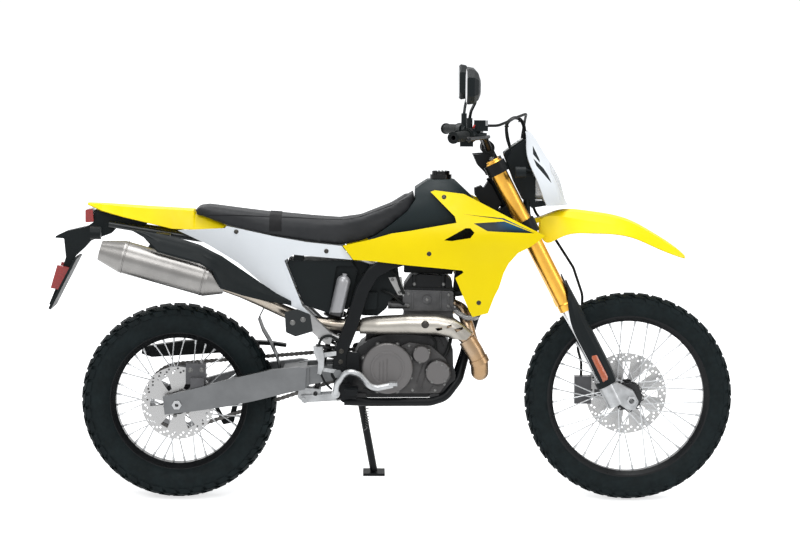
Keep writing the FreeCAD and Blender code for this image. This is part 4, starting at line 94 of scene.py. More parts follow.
class Nodes:
    """The node tree of a material, with short calls for the nodes that it uses."""

    def __init__(self, name):
        self.material = bpy.data.materials.new(name)
        self.material.use_nodes = True
        self.tree = self.material.node_tree
        self.shader = self.tree.nodes["Principled BSDF"]
        self.place = None

    def add(self, kind, **fields):
        """A new node with the given fields."""
        node = self.tree.nodes.new(kind)
        for key, value in fields.items():
            setattr(node, key, value)
        return node

    def plug(self, value, socket):
        """Links a socket to another's output, or sets its value."""
        if isinstance(value, bpy.types.NodeSocket):
            self.tree.links.new(value, socket)
        else:
            socket.default_value = value

    def math(self, operation, first, second=0.0, third=0.0):
        """The output of a math node."""
        node = self.add("ShaderNodeMath", operation=operation)
        for value, socket in zip((first, second, third), node.inputs):
            self.plug(value, socket)
        return node.outputs[0]

    def point(self):
        """The point in the frame of the upright machine."""
        if self.place is None:
            source = self.add("ShaderNodeTexCoord").outputs["Object"]
            moved = self.add("ShaderNodeVectorMath", operation="SUBTRACT")
            self.plug(source, moved.inputs[0])
            moved.inputs[1].default_value = SHIFT
            turned = self.add("ShaderNodeVectorRotate", rotation_type="X_AXIS")
            self.plug(moved.outputs[0], turned.inputs["Vector"])
            turned.inputs["Angle"].default_value = LEAN
            self.place = turned.outputs[0]
        return self.place

    def both(self, first, second):
        """Two shares multiplied."""
        return self.math("MULTIPLY", first, second)

    def either(self, *shares):
        """The greatest of some shares."""
        most = shares[0]
        for share in shares[1:]:
            most = self.math("MAXIMUM", most, share)
        return most

    def tint(self):
        """The colour mixed so far."""
        return self.shader.inputs["Base Color"].links[0].from_socket

    def scaled(self, factors):
        """The point with each coordinate times its factor."""
        node = self.add("ShaderNodeVectorMath", operation="MULTIPLY")
        self.plug(self.point(), node.inputs[0])
        node.inputs[1].default_value = factors
        return node.outputs[0]

    def split(self):
        """The point's coordinates x, y and z."""
        node = self.add("ShaderNodeSeparateXYZ")
        self.plug(self.point(), node.inputs[0])
        return node.outputs

    def noise(self, scale, detail=3.0, source=None):
        """Cloudy noise from 0 to 1."""
        node = self.add("ShaderNodeTexNoise")
        self.plug(source or self.point(), node.inputs["Vector"])
        node.inputs["Scale"].default_value = scale
        node.inputs["Detail"].default_value = detail
        node.inputs["Roughness"].default_value = 0.55
        return node.outputs["Fac"]

    def cells(self, scale):
        """The distance to the middles of small cells."""
        node = self.add("ShaderNodeTexVoronoi", feature="F1")
        self.plug(self.point(), node.inputs["Vector"])
        node.inputs["Scale"].default_value = scale
        return node.outputs["Distance"]

    def band(self, value, low, high, start=0.0, end=1.0):
        """A value from low to high, mapped to start to end and held there."""
        node = self.add("ShaderNodeMapRange")
        self.plug(value, node.inputs["Value"])
        for key, number in (("From Min", low), ("From Max", high), ("To Min", start), ("To Max", end)):
            node.inputs[key].default_value = number
        return node.outputs["Result"]

    def mix(self, share, first, second):
        """A colour between two others."""
        node = self.add("ShaderNodeMix", data_type="RGBA")
        self.plug(share, node.inputs[0])
        for value, socket in ((first, node.inputs[6]), (second, node.inputs[7])):
            if isinstance(value, bpy.types.NodeSocket):
                self.plug(value, socket)
            else:
                socket.default_value = (*value[:3], 1)
        return node.outputs[2]

    def polygon(self, corners, up=2):
        """1 inside a convex outline, given anticlockwise in millimetres of x and of the axis numbered up."""
        axes = self.split()
        inside = 1.0
        for (x0, z0), (x1, z1) in zip(corners, corners[1:] + corners[:1]):
            normal = (-(z1 - z0), x1 - x0)
            length = math.hypot(*normal)
            normal = (normal[0] / length, normal[1] / length)
            offset = -(normal[0] * x0 + normal[1] * z0) * MM
            part = self.math("MULTIPLY_ADD", axes[0], normal[0], offset)
            part = self.math("MULTIPLY_ADD", axes[up], normal[1], part)
            part = self.math("GREATER_THAN", part, 0.0)
            inside = part if inside == 1.0 else self.both(inside, part)
        return inside

    def radius(self, axle):
        """The distance from a wheel's axle."""
        axes = self.split()
        ahead = self.math("SUBTRACT", axes[0], axle.x)
        up = self.math("SUBTRACT", axes[2], axle.z)
        square = self.math("MULTIPLY_ADD", up, up, self.math("MULTIPLY", ahead, ahead))
        return self.math("SQRT", square)

    def bump(self, height, strength=0.3, distance=0.001):
        """Bumps on top of the normal so far."""
        node = self.add("ShaderNodeBump")
        node.inputs["Strength"].default_value = strength
        node.inputs["Distance"].default_value = distance
        self.plug(height, node.inputs["Height"])
        if self.shader.inputs["Normal"].is_linked:
            self.plug(self.shader.inputs["Normal"].links[0].from_socket, node.inputs["Normal"])
        self.plug(node.outputs[0], self.shader.inputs["Normal"])

    def edge(self, reach=0.8):
        """Softens the shading over sharp edges, as a small round would, by reach in millimetres."""
        node = self.add("ShaderNodeBevel", samples=4)
        node.inputs["Radius"].default_value = reach * MM
        self.plug(node.outputs[0], self.shader.inputs["Normal"])
        return self

    def set(self, **values):
        """Sets inputs of the shader by short names."""
        names = {
            "colour": "Base Color",
            "metal": "Metallic",
            "rough": "Roughness",
            "coat": "Coat Weight",
            "coat_rough": "Coat Roughness",
            "sheen": "Sheen Weight",
            "specular": "Specular IOR Level",
        }
        for key, value in values.items():
            if key == "colour" and not isinstance(value, bpy.types.NodeSocket):
                value = (*value[:3], 1)
            self.plug(value, self.shader.inputs[names[key]])
        return self


def shade(colour, factor):
    """A colour times a factor, at most white."""
    return tuple(min(part * factor, 1.0) for part in colour)


def moulded(name, colour, rough, grain=0.25, scale=900, spread=0.12, coat=0.0, specular=0.5):
    """Moulded plastic with a fine grain and faint cloudy wear."""
    mat = Nodes(name).edge()
    cloud = mat.noise(9, 4)
    tint = mat.mix(mat.band(cloud, 0.3, 0.7), shade(colour, 1 - spread), shade(colour, 1 + spread * 0.4))
    mat.set(colour=tint, coat=coat, coat_rough=0.12, specular=specular)
    mat.set(rough=mat.band(mat.noise(34, 3), 0.3, 0.7, rough - 0.05, rough + 0.07))
    mat.bump(mat.noise(scale, 2), grain, 0.0003)
    return mat


def painted(name, colour, rough, metal=0.3, coat=0.4, grain=0.12, specular=0.3):
    """Paint or anodising on metal, with orange peel and dulled patches."""
    mat = Nodes(name).edge()
    patch = mat.noise(22, 4)
    tint = mat.mix(mat.band(patch, 0.35, 0.75), shade(colour, 0.85), shade(colour, 1.15))
    mat.set(colour=tint, metal=metal, coat=coat, coat_rough=0.15, specular=specular)
    mat.set(rough=mat.band(mat.noise(60, 3), 0.3, 0.7, rough - 0.04, rough + 0.08))
    mat.bump(mat.noise(420, 2), grain, 0.0004)
    return mat


def brushed(name, colour, rough, stretch=(0.05, 1, 1), scale=700, strength=0.12, metal=1.0):
    """Metal with drawn or ground lines along one way."""
    mat = Nodes(name).edge()
    lines = mat.noise(scale, 4, mat.scaled(stretch))
    cloud = mat.noise(14, 3)
    tint = mat.mix(mat.band(cloud, 0.3, 0.7), shade(colour, 0.86), shade(colour, 1.08))
    mat.set(colour=tint, metal=metal)
    mat.set(rough=mat.band(lines, 0.25, 0.75, rough - 0.06, rough + 0.1))
    mat.bump(lines, strength, 0.0003)
    return mat


def cast(name, colour, rough, metal=0.7, scale=520, strength=0.35):
    """Sand or die cast metal with a fine pebbled skin and darker patches of oil and dust."""
    mat = Nodes(name).edge(1.2)
    stain = mat.noise(30, 5)
    tint = mat.mix(mat.band(stain, 0.35, 0.7), shade(colour, 0.75), shade(colour, 1.12))
    mat.set(colour=tint, metal=metal)
    mat.set(rough=mat.band(mat.noise(80, 3), 0.3, 0.7, rough - 0.05, rough + 0.1))
    mat.bump(mat.cells(scale), strength, 0.0004)
    return mat


def rubber(name, colour, rough):
    """Black rubber with faint patches of dust."""
    mat = Nodes(name).edge(0.6)
    dust = mat.noise(26, 5)
    tint = mat.mix(mat.band(dust, 0.35, 0.72), shade(colour, 0.8), shade(colour, 1.5))
    mat.set(colour=tint, specular=0.14)
    mat.set(rough=mat.band(mat.noise(90, 3), 0.3, 0.7, rough - 0.08, rough + 0.08))
    mat.bump(mat.noise(600, 3), 0.3, 0.0005)
    return mat


def ringed(name, axle, colour, rough, count=900, metal=1.0):
    """Metal turned or ground in rings around a wheel's axle."""
    mat = Nodes(name)
    along = mat.add("ShaderNodeCombineXYZ")
    mat.plug(mat.radius(axle), along.inputs[0])
    rings = mat.noise(count, 3, along.outputs[0])
    tint = mat.mix(mat.band(rings, 0.3, 0.7), shade(colour, 0.8), shade(colour, 1.1))
    mat.set(colour=tint, metal=metal)
    mat.set(rough=mat.band(rings, 0.3, 0.7, rough - 0.06, rough + 0.1))
    mat.bump(rings, 0.15, 0.0002)
    return mat


YELLOW = (1.0, 0.76, 0.0)
WHITE = (0.80, 0.83, 0.86)
INK = (0.004, 0.008, 0.010)
BLACK = (0.006, 0.009, 0.010)
GOLD = (0.80, 0.43, 0.07)


def shroud_material():
    """Yellow plastic with a wedge and a thin line, from black to blue forwards and upwards."""
    mat = moulded("yellow_shroud", YELLOW, 0.36, 0.12, 700, 0.04, 0.0, 0.2)
    base = mat.tint()
    wedge = mat.polygon([(965, 930), (1010, 906), (1162, 900), (1065, 938)])
    line = mat.polygon([(932, 958), (1058, 944), (1062, 948)])
    tail = mat.polygon([(1058, 944), (1168, 900), (1062, 948)])
    blue = mat.both(mat.band(mat.split()[0], 1.03, 1.15), mat.band(mat.split()[2], 0.905, 0.93))
    ink = mat.mix(blue, (0.004, 0.012, 0.016), (0.01, 0.16, 0.36))
    mat.set(colour=mat.mix(mat.either(line, tail, wedge), base, ink))
    return mat


def mask_material():
    """White plastic with a black slash in three parts."""
    mat = moulded("white_mask", WHITE, 0.34, 0.1, 700, 0.03, 0.0, 0.25)
    base = mat.tint()
    slash = mat.polygon([(1161, 1179), (1161, 1152), (1184, 1124), (1183, 1134)])
    lower = mat.polygon([(1162, 1138), (1172, 1114), (1205, 1077), (1195, 1107)])
    tail = mat.polygon([(1195, 1107), (1203, 1079), (1223, 1057), (1212, 1082)])
    mat.set(colour=mat.mix(mat.either(slash, lower, tail), base, INK))
    return mat


def tail_frame_material():
    """Silver stays next to the engine; the rails behind them and the peg's bracket are black."""
    mat = painted("tail_frame", (0.36, 0.36, 0.36), 0.36, 0.75, 0.2)
    silver = mat.tint()
    ahead = mat.math("GREATER_THAN", mat.split()[0], 0.36)
    bracket = mat.polygon([(330, 540), (400, 540), (444, 572), (436, 622), (396, 660), (330, 660)])
    outside = mat.math("LESS_THAN", mat.split()[1], -0.11)
    shown = mat.math("SUBTRACT", ahead, mat.both(bracket, mat.both(outside, ahead)))
    mat.set(colour=mat.mix(shown, BLACK, silver), metal=mat.band(shown, 0, 1, 0.0, 0.75))
    return mat


def radiator_hose_material():
    """Black radiators and brackets, with the bare metal pipe to the head."""
    mat = radiator_material()
    base = mat.tint()
    pipe = mat.polygon([(880, 672), (890, 630), (940, 590), (1010, 596), (1008, 644), (940, 640)])
    pipe = mat.both(pipe, mat.math("GREATER_THAN", mat.math("ABSOLUTE", mat.split()[1]), 0.058))
    mat.set(colour=mat.mix(pipe, base, (0.42, 0.42, 0.42)), metal=mat.band(pipe, 0, 1, 0.2, 0.9))
    return mat


def shock_material():
    """The dark shock, its silver reservoir and its spring."""
    mat = painted("shock_body", (0.05, 0.05, 0.052), 0.34, 0.5, 0.2, 0.2)
    base = mat.tint()
    tank = mat.math("LESS_THAN", mat.split()[1], -0.075)
    tank = mat.both(tank, mat.math("GREATER_THAN", mat.split()[2], 0.632))
    mat.set(colour=mat.mix(tank, base, (0.33, 0.33, 0.34)))
    return mat


def cover_material():
    """Cast covers, the machined clutch disc and the two caps paler than the cover round them."""
    mat = cast("engine_cover", (0.066, 0.064, 0.064), 0.4, 0.7, 900, 0.12)
    dark = mat.tint()
    discs = []
    for (x, z), radius in ((CLUTCH, 82), (HIGH_CAP, 26), (LOW_CAP, 38)):
        discs.append(mat.band(mat.radius(at(x, 0, z)), (radius + 1) * MM, (radius - 1) * MM))
    pale = mat.either(*discs)
    outside = mat.math("LESS_THAN", mat.split()[1], -0.05)
    mat.set(colour=mat.mix(mat.both(pale, outside), dark, (0.145, 0.139, 0.138)))
    return mat


def head_material():
    """Grey head casting with its bare metal stay behind."""
    mat = cast("head_casting", (0.085, 0.085, 0.087), 0.42, 0.55, 620, 0.3)
    grey = mat.tint()
    stay = mat.polygon([(722, 682), (742, 682), (744, 704), (736, 747), (690, 744)])
    mat.set(colour=mat.mix(stay, grey, (0.36, 0.36, 0.355)), metal=mat.band(stay, 0, 1, 0.55, 0.8))
    return mat


def controls_material():
    """Black switch pods and perches, with the bare metal master cylinder."""
    mat = moulded("bar_controls_black", BLACK, 0.45, 0.4, 1100, 0.15, 0.0, 0.16)
    base = mat.tint()
    x, y, z = bar_line(-1, 169) + Vector((28, 8, 30))
    side = mat.polygon([(x - 24, z - 19), (x + 24, z - 19), (x + 24, z + 19), (x - 24, z + 19)])
    plan = mat.polygon([(x - 24, y - 23), (x + 24, y - 23), (x + 24, y + 23), (x - 24, y + 23)], 1)
    tank = mat.both(side, plan)
    mat.set(colour=mat.mix(tank, base, (0.30, 0.305, 0.31)), metal=mat.band(tank, 0, 1, 0.0, 0.9))
    return mat


def bar_line(side, start):
    """A point on the last run of the bar, counted inwards from its tip, in millimetres."""
    centre = steer(64, 0, 950) / MM
    tip = centre + Vector((-48 - (405 - 222) * 0.42, side * 405, 46))
    root = centre + Vector((-48, side * 222, 50))
    return tip + (root - tip).normalized() * start


def hub_material(name, axle, core):
    """Dark hub with stainless spokes outside the given radius."""
    mat = Nodes(name)
    distance = mat.radius(axle)
    spoke = mat.math("GREATER_THAN", distance, core)
    grain = mat.noise(300, 3)
    dark = mat.mix(grain, (0.016, 0.017, 0.018), (0.032, 0.033, 0.035))
    steel = mat.mix(grain, (0.42, 0.43, 0.44), (0.62, 0.63, 0.64))
    mat.set(colour=mat.mix(spoke, dark, steel), metal=mat.band(spoke, 0, 1, 0.4, 0.95))
    mat.set(rough=mat.band(grain, 0.3, 0.7, 0.24, 0.38))
    mat.bump(grain, 0.08, 0.0003)
    return mat


def header_material():
    """Stainless pipe, straw to bronze where it is hottest."""
    mat = brushed("header_steel", (0.5, 0.36, 0.22), 0.3, (1, 1, 1), 260, 0.008)
    heat = mat.band(mat.split()[0], 0.80, 1.0)
    heat = mat.math("ADD", heat, mat.band(mat.noise(18, 3), 0.3, 0.7, -0.15, 0.15))
    mat.set(colour=mat.mix(heat, (0.38, 0.34, 0.29), (0.36, 0.235, 0.13)))
    return mat


def seat_material():
    """Black vinyl with a pebbled grain."""
    mat = Nodes("seat_vinyl")
    dust = mat.noise(11, 4)
    mat.set(colour=mat.mix(mat.band(dust, 0.3, 0.7), (0.020, 0.021, 0.023), (0.029, 0.030, 0.032)))
    mat.set(rough=mat.band(mat.noise(70, 3), 0.3, 0.7, 0.5, 0.62), sheen=0.05, specular=0.2)
    mat.bump(mat.cells(620), 0.4, 0.0006)
    mat.bump(mat.noise(1500, 2), 0.2, 0.0003)
    return mat


def radiator_material():
    """Dark metal with fins one above the other."""
    mat = cast("radiator_core", (0.10, 0.10, 0.105), 0.5, 0.7)
    fins = mat.add("ShaderNodeTexWave", wave_type="BANDS", bands_direction="Z")
    mat.plug(mat.point(), fins.inputs["Vector"])
    fins.inputs["Scale"].default_value = 90
    mat.bump(fins.outputs["Fac"], 0.6, 0.002)
    return mat


def lens(name, colour, rough=0.12, cells=260):
    """A lamp lens with a patterned, glossy face."""
    mat = Nodes(name)
    ribs = mat.cells(cells)
    mat.set(colour=mat.mix(mat.band(ribs, 0.1, 0.6), shade(colour, 0.7), shade(colour, 1.2)))
    mat.set(rough=mat.band(ribs, 0.0, 0.6, rough, rough + 0.1), coat=0.6, coat_rough=0.05, specular=0.6)
    mat.bump(ribs, 0.5, 0.001)
    return mat


M = {
    "tyre": rubber("tyre_rubber", (0.006, 0.010, 0.011), 0.66),
    "grip": rubber("grip_rubber", (0.007, 0.009, 0.009), 0.6),
    "hose": rubber("hose_rubber", (0.008, 0.009, 0.009), 0.45),
    "rim": painted("rim_black", (0.008, 0.009, 0.010), 0.3, 0.2, 0.1, 0.05, 0.2),
    "frame": painted("frame_black", (0.005, 0.006, 0.007), 0.38, 0.0, 0.0, 0.1, 0.16),
    "bar": painted("bar_black", (0.008, 0.009, 0.010), 0.32, 0.2, 0.1, 0.05, 0.25),
    "black": moulded("black_plastic", BLACK, 0.45, 0.4, 1100, 0.15, 0.0, 0.16),
    "tank": moulded("tank_plastic", (0.010, 0.017, 0.019), 0.45, 0.35, 1300, 0.1, 0.0, 0.18),
    "gloss_black": moulded("gloss_black", (0.003, 0.003, 0.004), 0.14, 0.05, 600, 0.05, 0.1, 0.25),
    "yellow": moulded("yellow_plastic", YELLOW, 0.36, 0.12, 700, 0.04, 0.0, 0.2),
    "shroud": shroud_material(),
    "white": moulded("white_plastic", WHITE, 0.34, 0.1, 700, 0.03, 0.0, 0.25),
    "mask": mask_material(),
    "gold": brushed("fork_gold", GOLD, 0.3, (1, 1, 0.06), 500, 0.015),
    "stanchion": brushed("fork_chrome", (0.62, 0.63, 0.64), 0.1, (1, 1, 1), 300, 0.02),
    "silver_cast": cast("cast_silver", (0.46, 0.47, 0.48), 0.36, 0.85, 700, 0.15),
    "silver_tube": tail_frame_material(),
    "shock": shock_material(),
    "controls": controls_material(),
    "swing": brushed("swing_arm_aluminium", (0.17, 0.175, 0.18), 0.36, (0.04, 1, 1), 600, 0.08),
    "axle": brushed("axle_steel", (0.50, 0.51, 0.52), 0.26, (1, 0.1, 1), 500, 0.08),
    "chain": cast("chain_steel", (0.13, 0.125, 0.12), 0.34, 0.9, 900, 0.1),
    "engine": cast("engine_casting", (0.022, 0.022, 0.023), 0.46, 0.5, 620, 0.3),
    "cover": cover_material(),
    "head": head_material(),
    "cam": painted("cam_cover_black", (0.006, 0.007, 0.008), 0.4, 0.0, 0.0, 0.3, 0.2),
    "caliper": painted("caliper_grey", (0.09, 0.09, 0.095), 0.36, 0.6, 0.2, 0.25),
    "radiator": radiator_hose_material(),
    "header": header_material(),
    "shield": brushed("shield_steel", (0.37, 0.35, 0.315), 0.32, (0.06, 1, 1), 500, 0.04),
    "silencer": brushed("silencer_steel", (0.25, 0.243, 0.235), 0.3, (0.05, 1, 1), 520, 0.04),
    "seat": seat_material(),
    "red": lens("red_lens", (0.30, 0.006, 0.005)),
    "amber": lens("amber_lens", (0.42, 0.075, 0.012)),
    "clear": lens("clear_lens", (0.60, 0.62, 0.64), 0.08, 180),
    "zinc": brushed("zinc_bolt", (0.17, 0.17, 0.167), 0.34, (1, 1, 1), 900, 0.08),
    "dark_bolt": painted("dark_bolt", (0.05, 0.047, 0.042), 0.34, 0.8, 0.1),
    "strap": moulded("woven_strap", (0.012, 0.012, 0.013), 0.6, 0.5, 500, 0.2, 0.0, 0.15),
    "mirror": brushed("mirror_glass", (0.12, 0.125, 0.13), 0.02, (1, 1, 1), 200, 0.0),
    "display": moulded("display_grey", (0.22, 0.25, 0.22), 0.12, 0.03, 500, 0.05, 0.5, 0.4),
    "red_plastic": moulded("red_button", (0.5, 0.02, 0.015), 0.35, 0.1, 900, 0.05, 0.0, 0.3),
    "button": moulded("grey_button", (0.16, 0.16, 0.165), 0.45, 0.2, 900, 0.1, 0.0, 0.3),
}
M["front_hub"] = hub_material("front_hub_and_spokes", FRONT_AXLE, 0.052)
M["rear_hub"] = hub_material("rear_hub_and_spokes", REAR_AXLE, 0.062)
M["front_disc"] = ringed("front_disc_steel", FRONT_AXLE, (0.5, 0.5, 0.5), 0.26)
M["rear_disc"] = ringed("rear_disc_steel", REAR_AXLE, (0.5, 0.5, 0.5), 0.26)
M["sprocket"] = ringed("sprocket_steel", REAR_AXLE, (0.22, 0.22, 0.225), 0.32)

# The nodes that each material covers; the rest are black plastic
COVERED = {
    "tyre": "front_tyre rear_tyre", "rim": "front_rim rear_rim", "axle": "front_axle rear_axle",
    "front_hub": "front_hub", "rear_hub": "rear_hub", "front_disc": "front_disc", "rear_disc": "rear_disc",
    "sprocket": "rear_sprocket", "chain": "chain", "gold": "fork_tubes", "stanchion": "fork_stanchions",
    "frame": "triple_clamps side_stand main_frame footpegs", "bar": "handlebar bar_levers", "grip": "grips",
    "controls": "bar_controls", "silver_cast": "fork_feet linkage foot_controls", "silver_tube": "subframe",
    "caliper": "front_caliper rear_caliper", "hose": "brake_hose control_cables", "shock": "rear_shock",
    "swing": "swing_arm", "engine": "crankcase", "head": "cylinder_head", "cam": "cam_cover",
    "cover": "engine_covers", "radiator": "radiators", "header": "exhaust_pipe", "shield": "header_shield",
    "silencer": "silencer", "yellow": "front_fender rear_fender", "mask": "headlight_cowl",
    "clear": "headlight", "red": "rear_lights", "tank": "fuel_tank", "gloss_black": "fuel_cap",
    "seat": "seat", "shroud": "shrouds", "white": "side_panels",
}
MATERIAL_OF = {node: key for key, nodes in COVERED.items() for node in nodes.split()}


def wear(thing, key):
    """Gives an object one material."""
    thing.data.materials.clear()
    thing.data.materials.append(M[key].material)


for name, thing in frame["nodes"].items():
    wear(thing, MATERIAL_OF.get(name, "black"))


# Mesh helpers


def placed(name, data):
    """A new object in the scene."""
    thing = bpy.data.objects.new(name, data)
    bpy.context.scene.collection.objects.link(thing)
    return thing


def soften(mesh, degrees):
    """Smooth shading, with sharp edges over the given angle."""
    mesh.polygons.foreach_set("use_smooth", [True] * len(mesh.polygons))
    mesh.set_sharp_from_angle(angle=math.radians(degrees))


def finish_mesh(name, build, key, body, smooth=35):
    """A piece made from a bmesh in the upright frame, moved to where the machine stands."""
    build.transform(PLACE)
    mesh = bpy.data.meshes.new(name)
    bmesh.ops.recalc_face_normals(build, faces=build.faces)
    build.to_mesh(mesh)
    build.free()
    thing = placed(name, mesh)
    mesh.materials.append(M[key].material)
    soften(mesh, smooth)
    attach(thing, body)
    return thing


def upright(mesh):
    """A mesh's vertices in the upright frame."""
    return [UNPLACE @ vert.co for vert in mesh.vertices]


def tree_of(mesh):
    """A mesh in the upright frame, as a tree that lines can be cast at."""
    return BVHTree.FromPolygons(upright(mesh), [list(face.vertices) for face in mesh.polygons])


TREES = {}


def surface(node, x, z, side):
    """Where a line along y meets a node's outer face, and the face's normal, in the upright frame."""
    if node not in TREES:
        TREES[node] = tree_of(frame["nodes"][node].data)
    hit = TREES[node].ray_cast(Vector((x * MM, side * 0.8, z * MM)), Vector((0, -side, 0)))
    if hit[0] is None:
        return None
    normal = hit[1] if hit[1].y * side > 0 else -hit[1]
    return hit[0], normal


def skin(build, rings, first=True):
    """Joins rings of vertices in turn, and closes the last one and, where asked, the first."""
    for low, high in zip(rings, rings[1:]):
        for index in range(len(low)):
            after = (index + 1) % len(low)
            build.faces.new((low[index], low[after], high[after], high[index]))
    if first:
        build.faces.new(rings[0][::-1])
    build.faces.new(rings[-1])


def turned_part(build, centre, axis, profile, count=24):
    """A solid of revolution: profile is a list of radius and height along the axis, in millimetres."""
    turn = Vector((0, 0, 1)).rotation_difference(axis).to_matrix()
    rings = []
    for radius, height in profile:
        ring = []
        for index in range(count):
            angle = 2 * math.pi * index / count
            spot = Vector((radius * math.cos(angle), radius * math.sin(angle), height)) * MM
            ring.append(build.verts.new(centre + turn @ spot))
        rings.append(ring)
    skin(build, rings)


def bolt(build, centre, axis, radius, height, socket=True):
    """A rounded bolt head with a hexagonal socket, on a thin washer."""
    turned_part(build, centre, axis, [(radius * 1.35, -0.6), (radius * 1.35, 0.7), (radius * 1.25, 1.0)], 20)
    dome = [(radius, 0.6), (radius, height * 0.6), (radius * 0.86, height * 0.92), (radius * 0.6, height)]
    turned_part(build, centre, axis, dome, 20)
    if socket:
        turned_part(build, centre, axis, [(radius * 0.5, height * 0.7), (radius * 0.42, height + 0.05)], 6)


def block(build, corners):
    """A closed block from its eight corners, the lower four and then the upper four."""
    verts = [build.verts.new(corner) for corner in corners]
    for face in ((3, 2, 1, 0), (4, 5, 6, 7), (0, 1, 5, 4), (1, 2, 6, 5), (2, 3, 7, 6), (3, 0, 4, 7)):
        build.faces.new([verts[index] for index in face])


# Tyres: a carcass with the tread blocks on it


def profile_point(rows, share):
    """A point on a half section, share from 0 at the crown to 1 at its last row."""
    step = share * (len(rows) - 1)
    index = min(int(step), len(rows) - 2)
    part = step - index
    first, second = rows[index], rows[index + 1]
    return first[0] + (second[0] - first[0]) * part, first[1] + (second[1] - first[1]) * part


TYRE_RINGS = 144
BLOCK_STEPS = 3
# Rows of blocks: start and end across the half section, slant and shift in pitches, share of a pitch filled
BLOCK_ROWS = ((0.04, 0.42, 0.04, 0.0, 0.76), (0.47, 0.72, 0.26, 0.5, 0.76), (0.76, 1.0, 0.12, 0.5, 0.80))


def wheel_point(axle, turn, radius, y):
    """A point at a share of a turn round a wheel, from the top."""
    angle = 2 * math.pi * turn
    return axle + Vector((math.sin(angle), 0, math.cos(angle))) * radius * MM + Vector((0, y * MM, 0))


def tread_block(build, axle, pitches, root, crown, turn, side, row):
    """One slanted block between the carcass and the crown, in short steps across the tyre."""
    low, high, slant, shift, fill = row
    offset = shift + (0.5 if side > 0 and low > 0.4 else 0.0)
    for part in range(BLOCK_STEPS):
        shares = [low + (high - low) * (part + end) / BLOCK_STEPS for end in (0, 1)]
        corners = []
        for table, shrink in ((root, 1.0), (crown, 0.93)):
            for share, edge in ((shares[0], -1), (shares[1], -1), (shares[1], 1), (shares[0], 1)):
                radius, y = profile_point(table, share)
                skew = slant * (share - low) / (high - low)
                place = turn + offset + skew + edge * fill * shrink / 2
                corners.append(wheel_point(axle, place / pitches, radius, side * y))
        block(build, corners)


def tyre(name, axle, carcass, crown, pitches, body):
    """The carcass turned about the axle, and rows of blocks on it."""
    build = bmesh.new()
    section = carcass[::-1] + [(radius, -y) for radius, y in carcass[1:]]
    rings = []
    for index in range(TYRE_RINGS):
        share = index / TYRE_RINGS
        rings.append([build.verts.new(wheel_point(axle, share, radius, y)) for radius, y in section])
    for first, second in zip(rings, rings[1:] + rings[:1]):
        for low in range(len(section) - 1):
            build.faces.new((first[low], first[low + 1], second[low + 1], second[low]))
        build.faces.new((first[-1], first[0], second[0], second[-1]))
    root = [(radius - 1.5, y * 0.97) for radius, y in carcass[: len(crown)]]
    for turn in range(pitches):
        for side in BOTH:
            for row in BLOCK_ROWS:
                tread_block(build, axle, pitches, root, crown, turn, side, row)
    return finish_mesh(name, build, "tyre", body, 30)


# Half sections, as radius and distance from the middle, in millimetres
REAR_CARCASS = [(316, 0), (315, 20), (311, 36), (303, 49), (291, 56.5)]
REAR_CARCASS += [(274, 58), (256, 55), (241, 48), (230, 40), (226, 34)]
REAR_CROWN = [(324.0, 0), (321.4, 22), (316.5, 41), (307, 54.5), (291, 59.2)]
FRONT_CARCASS = [(340, 0), (339, 13), (335.5, 25), (328, 35), (317, 40)]
FRONT_CARCASS += [(303, 40.5), (290, 38), (278, 33), (270, 28), (266, 24)]
FRONT_CROWN = [(345.2, 0), (344.2, 15), (339.5, 29), (331, 38.6), (317, 41.4)]
rear_tread = tyre("rear_tyre_tread", REAR_AXLE, REAR_CARCASS, REAR_CROWN, 42, "rear_wheel")
front_tread = tyre("front_tyre_tread", FRONT_AXLE, FRONT_CARCASS, FRONT_CROWN, 46, "front_wheel")
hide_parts("rear_tyre")
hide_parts("front_tyre")


# Seat: the cover drawn tight over its foam


VOXEL = 0.006
CLOTH_PRESSURE = 4
CLOTH_REACH = 0.003
CLOTH_FRAMES = 20


def seat_cover():
    """The seat with a cover that pressure swells by no more than CLOTH_REACH."""
    thing = placed("seat_cover", frame["nodes"]["seat"].data.copy())
    wear(thing, "seat")
    bpy.context.view_layer.objects.active = thing
    remesh = thing.modifiers.new("remesh", "REMESH")
    remesh.mode = "VOXEL"
    remesh.voxel_size = VOXEL
    smooth = thing.modifiers.new("smooth", "SMOOTH")
    smooth.factor = 0.5
    smooth.iterations = 3
    bake(thing)
    start = [vert.co.copy() for vert in thing.data.vertices]
    cloth = thing.modifiers.new("cloth", "CLOTH")
    cloth.settings.use_pressure = True
    cloth.settings.uniform_pressure_force = CLOTH_PRESSURE
    cloth.settings.effector_weights.gravity = 0
    cloth.settings.quality = 4
    for number in range(1, CLOTH_FRAMES + 1):
        bpy.context.scene.frame_set(number)
    bake(thing)
    bpy.context.scene.frame_set(1)
    for vert, place in zip(thing.data.vertices, start):
        step = vert.co - place
        if step.length > CLOTH_REACH:
            vert.co = place + step * (CLOTH_REACH / step.length)
    rounded = thing.modifiers.new("rounded", "SUBSURF")
    rounded.levels = 1
    rounded.render_levels = 1
    thing.data.polygons.foreach_set("use_smooth", [True] * len(thing.data.polygons))
    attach(thing, "chassis")
    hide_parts("seat")
    return thing


def bake(thing):
    """Keeps the shape that the modifiers give, and drops them."""
    graph = bpy.context.evaluated_depsgraph_get()
    mesh = bpy.data.meshes.new_from_object(thing.evaluated_get(graph))
    thing.modifiers.clear()
    thing.data = mesh


seat_piece = seat_cover()


# Bolts and screws, each set on the outer face that it goes into


def bolts_on(name, places, key, radius, height, body="chassis"):
    """A joined piece of bolt heads, from places of node, x, z and side in the upright frame."""
    build = bmesh.new()
    for node, x, z, side in places:
        hit = surface(node, x, z, side)
        if hit:
            bolt(build, hit[0], hit[1], radius, height)
    return finish_mesh(name, build, key, body)


